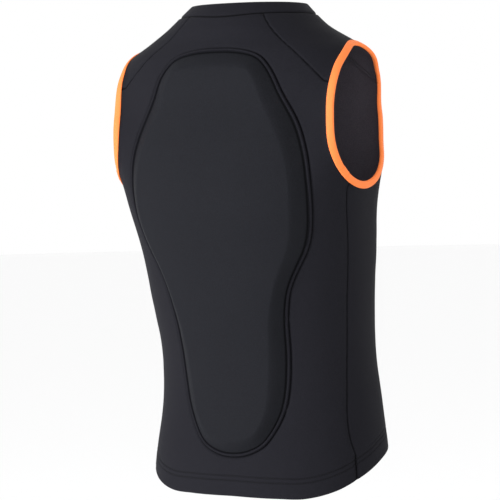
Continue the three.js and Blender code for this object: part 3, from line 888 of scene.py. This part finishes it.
class VEST_OT_back_panel(bpy.types.Operator):
    """Lay the back panel between the collar, the shoulder and side seams and the hem"""

    bl_idname = "vest.back_panel"
    bl_label = "Back panel"

    def execute(self, context):
        pattern = Pattern(context.scene.vest_shape)
        edges = (
            pattern.collar_seam(90, YOKE_ANGLE),
            pattern.yoke_seam(1),
            pattern.arm_edge(YOKE_END_BACK, SIDE_SEAM_START),
            pattern.side_seam(),
            pattern.hem(np.linspace(math.radians(SIDE_SEAM_ANGLE), math.pi / 2, 90), HEM_BAND),
        )
        counts = [round(pattern.length(edge) / (4 * MILLIMETRE)) for edge in edges]
        shares = [np.linspace(0, 1, count + 1) for count in counts]
        rim = chain(*(pattern.divide(edge, share) for edge, share in zip(edges, shares)))
        sides = [
            pattern.pad_side(np.linspace(low, high, count + 1))
            for low, high, count in zip(PAD_STOPS, PAD_STOPS[1:], counts[1:4])
        ]
        half = chain(
            pattern.pad_top(np.linspace(0, 1, counts[0] + 1)),
            *sides,
            pattern.pad_foot(np.linspace(1, 0, counts[4] + 1)),
        )
        outline = pattern.on_back(half)
        outline = chain(outline, mirrored(outline)[::-1])
        rim = chain(rim, mirrored(rim)[::-1])
        across = crowded(0.08, (0, 0.08), 0.6 * MILLIMETRE, 3.6 * MILLIMETRE)[:, None, None]
        ring = (1 - across) * outline + across * rim

        bm = bmesh.new()
        self.lay(bm, pattern, ring, 0)
        flat = half[counts[0] : len(half) - counts[4]]
        top = pattern.pad_top(np.linspace(1, -1, 2 * counts[0] + 1))
        foot_share = np.linspace(1, -1, 2 * counts[4] + 1)
        self.lay_under_pad(bm, pattern, flat, top, foot_share)
        hem_line = rim[len(half) - 1 - counts[4] : len(half) + counts[4]]
        rows, lift, _ = hem_rows(pattern, hem_line)
        self.lay(bm, pattern, rows, lift)
        panel = knit_panel("back_panel_cloth", "back_panel", bm, context)
        return {"FINISHED"}

    def lay(self, bm, pattern, where, lift):
        base = pattern.surface(where)
        from_pad = nearness(base, pattern.surface(pattern.pad_outline()))
        collar = pattern.collar_seam(90, YOKE_ANGLE, 200)
        seams = [collar, pattern.yoke_seam(1), pattern.side_seam(0)]
        other = [mirrored(edge) for edge in seams]
        from_seam = nearness(base, seam_marks(pattern, seams + other))
        from_side = nearness(base, seam_marks(pattern, [seams[2], other[2]]))
        height = lift + seam_drop(from_seam) + stitch_dents(from_side, [SEAM_STITCH])
        above_hem = pattern.above_hem(where)
        height = height + stitch_dents(above_hem, HEM_STITCHES)
        height = height - GROOVE_DEPTH * hump(from_pad, GROOVE_REACH, GROOVE_WIDTH)
        height = height + self.pinches(from_pad, base)
        # Painted shade along the seams, the hem's stitch rows and the hollow round the pad.
        painted_shade = seam_painted_shade(np.abs(from_pad - GROOVE_REACH))
        painted_shade = np.maximum(seam_painted_shade(from_seam), painted_shade)
        painted_shade = np.maximum(painted_shade, stitch_painted_shade(above_hem, HEM_STITCHES))
        lay_grid(bm, *place(pattern, where, height), painted_shade, pattern.cloth_place(where))

    def pinches(self, from_pad, base):
        """Short creases that run out from the pinched welt, low on the wearer's right."""
        out = 0
        beside = hump(from_pad, 4 * MILLIMETRE, 8 * MILLIMETRE)
        for height in PINCHES:
            across = base[..., 2] - height + 0.5 * from_pad
            out = out + 0.7 * MILLIMETRE * hump(across, 0, 1.6 * MILLIMETRE) * beside
        return out * (base[..., 0] < 0)

    def lay_under_pad(self, bm, pattern, side, top, foot_share):
        """The part of the back that runs on behind the pad."""
        across = np.linspace(0, 1, len(top))
        foot_steps = np.linspace(0, 1, len(foot_share))
        foot = pattern.pad_foot(np.interp(across, foot_steps, foot_share))
        down = np.linspace(0, 1, len(side))
        flat = span(top, foot, side, side * (-1, 1), across, down)
        where = pattern.on_back(flat)
        lay_grid(bm, *place(pattern, where, -0.3 * MILLIMETRE), 0.0, pattern.cloth_place(where))


class VEST_OT_shoulder_panels(bpy.types.Operator):
    """Lay the two shoulder panels over the shoulders, from the collar to the armholes"""

    bl_idname = "vest.shoulder_panels"
    bl_label = "Shoulder panels"

    def execute(self, context):
        pattern = Pattern(context.scene.vest_shape)
        collar = pattern.collar_seam(YOKE_ANGLE, -YOKE_ANGLE, 160)
        arm = pattern.arm_edge(YOKE_END_BACK, YOKE_END_FRONT, 160)
        seams = [collar, pattern.yoke_seam(1), pattern.yoke_seam(-1)]
        short_seams = [pattern.yoke_seam(facing, to_edge=False) for facing in (1, -1)]
        width = pattern.length(arm)
        depth = pattern.length(short_seams[0])
        across = crowded(width, (0, width), coarse=3.5 * MILLIMETRE)
        down = crowded(depth, (0, COLLAR_STITCH), coarse=3.5 * MILLIMETRE)
        edge = pattern.divide(arm, across)
        rim = BESIDE * (1 - crowded(BESIDE, (BESIDE,)))
        where = span(
            pattern.divide(collar, across),
            pattern.aside(edge, BESIDE),
            pattern.divide(short_seams[0], down),
            pattern.divide(short_seams[1], down),
            across,
            down,
        )
        where = np.concatenate([where] + [pattern.aside(edge, reach)[None] for reach in rim[1:]])
        from_seam = nearness(pattern.surface(where), seam_marks(pattern, seams))
        for side, suffix in ((1, "left"), (-1, "right")):
            bm = bmesh.new()
            laid = place(pattern, where, seam_drop(from_seam), side)
            # Painted shade along the seams.
            lay_grid(bm, *laid, seam_painted_shade(from_seam), pattern.cloth_place(where))
            node = "shoulder_panel_" + suffix
            panel = knit_panel("shoulder_panel_cloth_" + suffix, node, bm, context)
        return {"FINISHED"}


class VEST_OT_front_panels(bpy.types.Operator):
    """Lay the two front panels from the side seams to the zip"""

    bl_idname = "vest.front_panels"
    bl_label = "Front panels"

    def execute(self, context):
        pattern = Pattern(context.scene.vest_shape)
        turn = pattern.arm_edge(UNDER_ARM_END, UNDER_ARM_END, 0)[0]
        level = pattern.beside_arm(UNDER_ARM_END)[1]
        zip_top = pattern.zip_edge(np.linspace(0, level, 120))
        outer = chain(pattern.yoke_seam(-1), pattern.arm_edge(YOKE_END_FRONT, UNDER_ARM_END + 360))
        collar = pattern.collar_seam(-YOKE_ANGLE, np.degrees(zip_top[0, 0]))
        waist = line(turn, zip_top[-1])
        foot = pattern.arm_edge(SIDE_SEAM_START, UNDER_ARM_END)
        side = pattern.side_seam()
        width = pattern.length(waist)
        height = pattern.length(outer)
        across = crowded(width, (0, width))
        down = crowded(height, (0,))
        ends = [pattern.divide(edge, across) for edge in (collar, waist)]
        sides = [pattern.divide(edge, down) for edge in (outer, zip_top)]
        upper = span(*ends, *sides, across, down)
        under_arm = pattern.divide(foot, crowded(pattern.length(foot), (0,)))
        top = chain(under_arm, pattern.divide(waist, across))
        shares = run_of(pattern.surface(top)) / pattern.length(top)
        side_length = pattern.length(side)
        down = crowded(side_length, (0,), 2 * MILLIMETRE)
        hem_zip = self.zip_at_hem(pattern, HEM_BAND)
        even = side[-1, 0] + shares * (hem_zip[0] - side[-1, 0])
        band_top = pattern.hem(even, HEM_BAND)
        lower_zip = pattern.zip_edge(np.linspace(level, hem_zip[1], 200))
        sides = [pattern.divide(edge, down) for edge in (side, lower_zip)]
        lower = span(top, band_top, *sides, shares, down)
        band, lift, above = hem_rows(pattern, band_top)
        for row, up in zip(band, above):
            row[-1] = self.zip_at_hem(pattern, up)

        seams = [
            pattern.collar_seam(-YOKE_ANGLE, ZIP_ANGLE, 200),
            pattern.yoke_seam(-1),
            pattern.side_seam(0),
            pattern.zip_edge(np.linspace(0, hem_zip[1] - HEM_BAND, 500)),
        ]
        marks = seam_marks(pattern, seams)
        for hand, suffix in ((1, "left"), (-1, "right")):
            bm = bmesh.new()
            for where, raised in ((upper, 0), (lower, 0), (band, lift)):
                from_seam = nearness(pattern.surface(where), marks)
                sunk = raised + seam_drop(from_seam)
                above_hem = pattern.above_hem(where)
                sunk = sunk + stitch_dents(above_hem, HEM_STITCHES)
                laid = place(pattern, where, sunk, hand)
                # Painted shade along the seams and the hem's stitch rows.
                painted_shade = np.maximum(seam_painted_shade(from_seam), stitch_painted_shade(above_hem, HEM_STITCHES))
                lay_grid(bm, *laid, painted_shade, pattern.cloth_place(where))
            node = "front_panel_" + suffix
            panel = knit_panel("front_panel_cloth_" + suffix, node, bm, context)
        return {"FINISHED"}

    def zip_at_hem(self, pattern, above):
        z = pattern.hem(np.radians(ZIP_ANGLE), above)[1]
        return pattern.zip_edge(z)


class VEST_OT_collar(bpy.types.Operator):
    """Set the low collar on the neck seam, folded over at its top"""

    bl_idname = "vest.collar"
    bl_label = "Collar"

    def execute(self, context):
        pattern = Pattern(context.scene.vest_shape)
        shape = pattern.shape
        start = np.degrees(pattern.zip_edge(0.0)[0])
        seam = pattern.collar_seam(start, 180 - start, 300)
        radius = shape.cloth_wall * 0.9
        rise = shape.collar_height - radius
        outer = rise * crowded(rise, (0, 2.5 * MILLIMETRE), 0.6 * MILLIMETRE, 1.6 * MILLIMETRE)
        turned = np.linspace(0, math.pi, 7)[1:]
        inner = np.linspace(rise, 0, 6)[1:]
        height = np.concatenate([outer, rise + radius * np.sin(turned), inner])
        lift = np.concatenate([0 * outer, radius * (np.cos(turned) - 1), np.full(5, -2 * radius)])
        share = height / shape.collar_height
        angle, z = seam[:, 0], seam[:, 1]
        where = np.stack([spots(angle, z * (1 - s) + shape.collar_height * s) for s in share])
        for row in where:
            row[0] = pattern.zip_edge(row[0, 1])
            row[-1] = mirrored(row[0])
        reach = np.abs(height)[:, None]
        folded = lift[:, None] < 0
        level = lift[:, None] + np.where(folded, 0, seam_drop(reach)) + 0 * where[..., 0]
        bm = bmesh.new()
        # Painted shade along the collar seam, none on the folded part.
        painted_shade = np.where(folded, 0, seam_painted_shade(reach))
        lay_grid(bm, *place(pattern, where, level), painted_shade)
        collar = finish_piece(
            "collar_band",
            bm,
            knit_stock(context.scene.vest_finish),
            ["collar"],
            shape.cloth_wall * 0.8,
        )
        return {"FINISHED"}


class VEST_OT_front_zip(bpy.types.Operator):
    """Set the closed zip between the front panels"""

    bl_idname = "vest.front_zip"
    bl_label = "Front zip"

    def execute(self, context):
        pattern = Pattern(context.scene.vest_shape)
        shape = pattern.shape
        finish = context.scene.vest_finish
        material = plain_finish("zip_fabric", tuple(finish.zip_tape), 0.55, 900.0, 0.1 * MILLIMETRE)
        foot = pattern.hem(np.radians(ZIP_ANGLE), 1.0 * MILLIMETRE)[1]
        heights = np.linspace(shape.collar_height, foot, 150)
        across = np.linspace(-1, 1, 17)
        x, z = np.meshgrid(across * (shape.zip_width / 2 + 0.6 * MILLIMETRE), heights)
        where = pattern.spot_across(x, z, -1)
        lift = -1.1 * MILLIMETRE + 0.9 * MILLIMETRE * hump(across, 0, 0.25)
        bm = bmesh.new()
        lay_grid(bm, *place(pattern, where, np.broadcast_to(lift, x.shape)))
        wall = 1.2 * MILLIMETRE
        tape = finish_piece("zip_tape_strip", bm, material, ["front_zip"], wall)
        middle = pattern.spot_across(np.zeros(600), np.linspace(shape.collar_height, foot, 600), -1)
        points, outward = place(pattern, middle, 0.1 * MILLIMETRE)
        bm = bmesh.new()
        for offset in (-1, 1):
            shifted = points + np.array([offset * 1.0 * MILLIMETRE, 0, 0])
            sew(bm, shifted, outward, 0.8 * MILLIMETRE, 1.9 * MILLIMETRE)
        finish_piece("zip_coil", bm, material)
        return {"FINISHED"}


# Trims


def carry(pattern, path, profile, side=1, closed=True):
    """Carries a profile along a path. Its spots lie to the path's right and above the cloth."""
    rows = []
    for across, above in profile:
        reach = max(across, 0)
        points, outward = place(pattern, pattern.aside(path, reach, closed), 0.0, side)
        further, _ = place(pattern, pattern.aside(path, reach + MILLIMETRE, closed), 0.0, side)
        free = (points - further) / np.linalg.norm(points - further, axis=-1, keepdims=True)
        if closed:
            step = np.roll(points, -1, axis=0) - np.roll(points, 1, axis=0)
        else:
            step = np.gradient(points, axis=0)
        turned = np.cross(free, step)
        turned *= np.sign(np.sum(turned * outward, axis=-1, keepdims=True))
        turned /= np.linalg.norm(turned, axis=-1, keepdims=True)
        raised = turned * np.reshape(above, (-1, 1))
        rows.append((points + free * (reach - across) + raised, turned))
    points = np.stack([row[0] for row in rows])
    outward = np.stack([row[1] for row in rows])
    if closed:
        points = np.concatenate([points, points[:, :1]], axis=1)
        outward = np.concatenate([outward, outward[:, :1]], axis=1)
    return points, outward


class VEST_OT_armhole_bindings(bpy.types.Operator):
    """Fold the orange elastic over the edges of both armholes"""

    bl_idname = "vest.armhole_bindings"
    bl_label = "Armhole bindings"

    def execute(self, context):
        pattern = Pattern(context.scene.vest_shape)
        finish = context.scene.vest_finish
        material = elastic("binding_elastic", tuple(finish.binding), finish.painted_glow)
        loop = pattern.arm_edge(LAP_ANGLE, LAP_ANGLE + 360, 360)[:-1]
        lap = pattern.arm_edge(LAP_ANGLE, LAP_ANGLE - 9, 24)
        for side, suffix in ((1, "left"), (-1, "right")):
            bm = bmesh.new()
            self.fold(bm, pattern, loop, side, True, 0)
            self.fold(bm, pattern, lap[::-1], side, False, 0.55 * MILLIMETRE)
            binding = finish_piece(
                "binding_tape_" + suffix,
                bm,
                material,
                ["armhole_binding_" + suffix],
                0.9 * MILLIMETRE,
            )
            bm = bmesh.new()
            row = pattern.aside(loop, pattern.shape.binding_width - 1.8 * MILLIMETRE, True)
            laid = place(pattern, row, 1.5 * MILLIMETRE, side)
            sew(bm, *(np.concatenate([at, at[:1]]) for at in laid), 0.25 * MILLIMETRE)
            finish_piece("binding_stitches_" + suffix, bm, material)
        return {"FINISHED"}

    def fold(self, bm, pattern, loop, side, closed, raised):
        """The folded tape: its outer face, the fold round the cloth's edge, and its inner face."""
        shape = pattern.shape
        wall = ELASTIC_WALL + raised
        middle = -shape.cloth_wall / 2
        radius = shape.cloth_wall / 2 + wall
        over = 0.8
        faces = np.linspace(shape.binding_width, 0, 9)
        crown = 0.35 * MILLIMETRE * np.sin(np.linspace(0, math.pi, 9))
        press = np.where(np.arange(9) == 0, -0.35 * MILLIMETRE, 0)
        turned = np.linspace(0, math.pi, 9)[1:-1]
        profile = [(across, middle + radius + c + p) for across, c, p in zip(faces, crown, press)]
        profile += [(-radius * np.sin(t) * over, middle + radius * np.cos(t)) for t in turned]
        profile += [(across, middle - radius - c) for across, c in zip(faces[::-1], crown)]
        points, outward = carry(pattern, loop, profile, side, closed)
        spread = outward * np.sign(np.linspace(1, -1, len(profile)))[:, None, None]
        lay_grid(bm, points, spread)


class VEST_OT_back_pad(bpy.types.Operator):
    """Cover the protector, give its foam a finish and lay the welt round it"""

    bl_idname = "vest.back_pad"
    bl_label = "Back pad"

    def execute(self, context):
        pattern = Pattern(context.scene.vest_shape)
        finish = context.scene.vest_finish
        shape = pattern.shape
        ring, inner = self.rings(pattern)
        rises = along(BEVEL, "inset", "rise", np.array(BEVEL_ROWS))
        seat = 0.4 * MILLIMETRE
        lift = seat + (shape.pad_thickness - seat) * rises
        foam = plain_finish("soft_foam", tuple(finish.foam), 0.9, 500.0, 0.4 * MILLIMETRE)
        core_lift = lift[CORE_ROW:] - shape.cover_wall - CORE_GAP
        core = self.shell(pattern, ring[CORE_ROW:], inner, core_lift)
        for grid in (ring[CORE_ROW:], inner):
            points, outward = place(pattern, grid, CORE_GAP)
            lay_grid(core, points, -outward)
        edge = np.stack([ring[CORE_ROW], ring[CORE_ROW]])
        rim, _ = place(pattern, edge, np.array([[core_lift[0]], [CORE_GAP]]))
        lay_grid(core, rim, rim - rim.mean(axis=(0, 1)))
        finish_piece("protector_core", core, foam, ["protector"])
        bm = self.shell(pattern, ring, inner, lift)
        cloth, wall = knit_cloth("pad_cloth", tuple(finish.pad)), 0.9 * MILLIMETRE
        cover = finish_piece("pad_cover_cloth", bm, cloth, ["pad_cover"], wall)

        bm = bmesh.new()
        outline = pattern.pad_outline()
        points = pattern.surface(outline)
        pinched = sum(hump(points[:, 2], height, 2.2 * MILLIMETRE) for height in PINCHES)
        full = 1 - 0.45 * (pinched * (points[:, 0] < 0))
        half_round = [
            (WELT_WIDTH * math.cos(t) / 2, WELT_HEIGHT * math.sin(t) * full - WELT_SEAT)
            for t in np.linspace(0, math.pi, 11)
        ]
        lay_grid(bm, *carry(pattern, outline, half_round))
        knit, wall = knit_stock(finish), 0.8 * MILLIMETRE
        finish_piece("welt_piping", bm, knit, ["pad_welt"], wall)
        return {"FINISHED"}

    def shell(self, pattern, ring, inner, lift):
        bm = bmesh.new()
        # Painted shade darkens the cover in the hollow near the foot of its bevel.
        shade_at_bevel_foot = hump(lift, lift[0] + 0.8 * MILLIMETRE, 0.8 * MILLIMETRE)[:, None]
        lay_grid(bm, *place(pattern, ring, lift[:, None]), shade_at_bevel_foot, pattern.cloth_place(ring))
        lay_grid(bm, *place(pattern, inner, lift[-1]), 0.0, pattern.cloth_place(inner))
        return bm

    def rings(self, pattern):
        """Rings of spots from the pad's outline inwards, and the grid that fills the last one."""
        ends, side = 24, 170
        share = np.linspace(0, 1, ends + 1)
        drop = np.linspace(PAD_SIDE[0].drop, PAD_SIDE[-1].drop, side + 1)
        bevel = along(PAD_SIDE, "drop", "bevel", drop)
        at_top = TOP_BEVEL + (bevel[0] - TOP_BEVEL) * smooth(0.5, 1, share)
        at_foot = FOOT_BEVEL + (bevel[-1] - FOOT_BEVEL) * smooth(0.5, 1, 1 - share)
        width = np.concatenate([at_top, bevel[1:], at_foot[1:]]) * pattern.shape.bevel_width
        width = np.concatenate([width, width[-2:0:-1]])[:, None]
        loop = pattern.pad_loop(ends, side)
        step = np.roll(loop, -1, axis=0) - np.roll(loop, 1, axis=0)
        inward = np.stack([step[:, 1], -step[:, 0]], axis=-1)
        inward = inward / np.linalg.norm(step, axis=-1, keepdims=True)
        inset = rounded(loop + inward * width, ROUNDING)
        rows = np.stack([loop + (inset - loop) * row for row in BEVEL_ROWS])
        last = rows[-1]
        top = np.roll(last, ends, axis=0)[: 2 * ends + 1][::-1]
        left = last[ends : ends + side + 1]
        foot = last[ends + side : 3 * ends + side + 1]
        across, down = np.linspace(0, 1, 2 * ends + 1), np.linspace(0, 1, side + 1)
        middle = span(top, foot, left, left * (-1, 1), across, down)
        closed = np.concatenate([rows, rows[:, :1]], axis=1)
        return pattern.on_back(closed), pattern.on_back(middle)


class VEST_OT_stitching(bpy.types.Operator):
    """Sew the rows of stitches along the hem, the side seams and the collar"""

    bl_idname = "vest.stitching"
    bl_label = "Stitching"

    def execute(self, context):
        pattern = Pattern(context.scene.vest_shape)
        finish = context.scene.vest_finish
        bm = bmesh.new()
        seat = -0.4 * MILLIMETRE
        zip_turn = np.degrees(pattern.zip_edge(-0.5)[0])
        for above in HEM_STITCHES:
            angle = np.radians(np.linspace(zip_turn + 1, 179 - zip_turn, 900))
            sew(bm, *place(pattern, pattern.hem(angle, above), seat))
        side = pattern.side_seam(0)
        beside = pattern.aside(side[side[:, 1] < SIDE_STITCH_TOP], -SEAM_STITCH)
        for hand in (1, -1):
            sew(bm, *place(pattern, beside, seat, hand))
        collar = pattern.collar_seam(-80, 260, 500)
        sew(bm, *place(pattern, pattern.aside(collar, COLLAR_STITCH), seat / 2))
        thread = plain_finish("sewing_thread", tuple(finish.thread), 0.6, 2000.0, 0.01 * MILLIMETRE)
        finish_piece("panel_stitches", bm, thread)
        self.bind_seams(pattern, finish)
        return {"FINISHED"}

    def bind_seams(self, pattern, finish):
        """The bound seam allowances, which lie on the inner face of the cloth."""
        bm = bmesh.new()
        depth = -pattern.shape.cloth_wall - 0.4 * MILLIMETRE
        collar = pattern.collar_seam(-82, 262, 300)
        lay_tube(bm, *place(pattern, collar, depth), ALLOWANCE, 0.3)
        inside = pattern.shape.binding_width
        for seam in (pattern.yoke_seam(1), pattern.yoke_seam(-1), pattern.side_seam(HEM_BAND)):
            run = pattern.length(seam)
            ends = (inside / run, 1) if len(seam) > 200 else (0, 1 - inside / run)
            row = pattern.divide(seam, np.linspace(*ends, int(run / (2 * MILLIMETRE))))
            for hand in (1, -1):
                lay_tube(bm, *place(pattern, row, depth, hand), ALLOWANCE, 0.3)
        # The seam tape takes the inner face's lightened colour, which holds painted light.
        tape = plain_finish("seam_tape", tuple(finish.inner_face_painted_light), 0.9, 900.0, 0.05 * MILLIMETRE)
        finish_piece("seam_allowances", bm, tape)


# Stage


class VEST_OT_stage(bpy.types.Operator):
    """Set up the floor, the soft lights and the camera"""

    bl_idname = "vest.stage"
    bl_label = "Stage"

    def execute(self, context):
        scene = context.scene
        self.lay_floor(scene)
        self.hang_light(scene, "key_light", (1.8, 2.4, 0.0), 1.2, 108, (0.96, 0.97, 1.0))
        self.hang_light(scene, "fill_light", (-1.5, 2.5, 0.1), 1.2, 16, (1.0, 0.99, 0.98))
        self.hang_light(scene, "front_light", (1.2, -2.8, 0.4), 1.8, 10, (1.0, 1.0, 1.0))
        world = bpy.data.worlds.new("studio")
        world.use_nodes = True
        backdrop = world.node_tree.nodes["Background"]
        backdrop.inputs["Color"].default_value = (1, 1, 1, 1)
        backdrop.inputs["Strength"].default_value = 1.0
        scene.world = world
        scene.view_settings.view_transform = "Standard"
        self.set_camera(scene)
        return {"FINISHED"}

    def lay_floor(self, scene):
        bm = bmesh.new()
        lowest = Matrix.Translation((0, 0, FLOOR_LEVEL))
        bmesh.ops.create_circle(bm, cap_ends=True, segments=96, radius=20, matrix=lowest)
        mesh = bpy.data.meshes.new("floor")
        bm.to_mesh(mesh)
        bm.free()
        shader = Shader("pale_floor")
        position = shader.add("ShaderNodeTexCoord").outputs["Object"]
        speck = shader.noise(position, 40.0)
        tone = tuple(scene.vest_finish.floor)
        mixed = shader.mix(speck, shade(tone, 0.99), shade(tone, 1.0))
        mesh.materials.append(shader.finish(mixed, None, roughness=0.9))
        floor = bpy.data.objects.new("floor", mesh)
        scene.collection.objects.link(floor)

    def hang_light(self, scene, name, where, size, power, tint):
        lamp = bpy.data.lights.new(name, "AREA")
        lamp.shape = "DISK"
        lamp.size = size
        lamp.energy = power
        lamp.color = tint
        light = bpy.data.objects.new(name, lamp)
        light.location = where
        beam = Vector(AIM) - light.location
        light.rotation_euler = beam.to_track_quat("-Z", "Y").to_euler()
        scene.collection.objects.link(light)

    def set_camera(self, scene):
        lens = bpy.data.cameras.new("camera")
        lens.lens = CAMERA_LENS
        lens.sensor_width = 36
        camera = bpy.data.objects.new("camera", lens)
        turn = math.radians(CAMERA_TURN)
        across, back = -math.sin(turn) * CAMERA_DISTANCE, math.cos(turn) * CAMERA_DISTANCE
        camera.location = (across, back, CAMERA_HEIGHT)
        to_left = Vector((math.cos(turn), math.sin(turn), 0))
        aim = Vector(AIM) + to_left * 0.00704 - Vector((0, 0, 0.00313))
        camera.rotation_mode = "QUATERNION"
        looking = (aim - camera.location).to_track_quat("-Z", "Y")
        roll = Matrix.Rotation(math.radians(CAMERA_ROLL), 4, "Z").to_quaternion()
        camera.rotation_quaternion = looking @ roll
        scene.collection.objects.link(camera)
        scene.camera = camera


class VEST_PT_build(bpy.types.Panel):
    """Lists the steps that build the vest."""

    bl_idname = "VEST_PT_build"
    bl_label = "Protective vest"
    bl_space_type = "VIEW_3D"
    bl_region_type = "UI"
    bl_category = "Vest"

    def draw(self, context):
        for operator in OPERATORS:
            self.layout.operator(operator.bl_idname)
        for group in (context.scene.vest_shape, context.scene.vest_finish):
            box = self.layout.box()
            for name in group.__annotations__:
                box.prop(group, name)


OPERATORS = (
    VEST_OT_stage,
    VEST_OT_back_panel,
    VEST_OT_shoulder_panels,
    VEST_OT_front_panels,
    VEST_OT_collar,
    VEST_OT_front_zip,
    VEST_OT_armhole_bindings,
    VEST_OT_back_pad,
    VEST_OT_stitching,
)
CLASSES = (VestShape, VestFinish, *OPERATORS, VEST_PT_build)


def register():
    for cls in CLASSES:
        bpy.utils.register_class(cls)
    bpy.types.Scene.vest_shape = PointerProperty(type=VestShape)
    bpy.types.Scene.vest_finish = PointerProperty(type=VestFinish)


def unregister():
    del bpy.types.Scene.vest_finish
    del bpy.types.Scene.vest_shape
    for cls in reversed(CLASSES):
        bpy.utils.unregister_class(cls)


def main():
    register()
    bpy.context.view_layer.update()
    for operator in OPERATORS:
        group, name = operator.bl_idname.split(".")
        getattr(getattr(bpy.ops, group), name)()


if __name__ == "__main__":
    main()
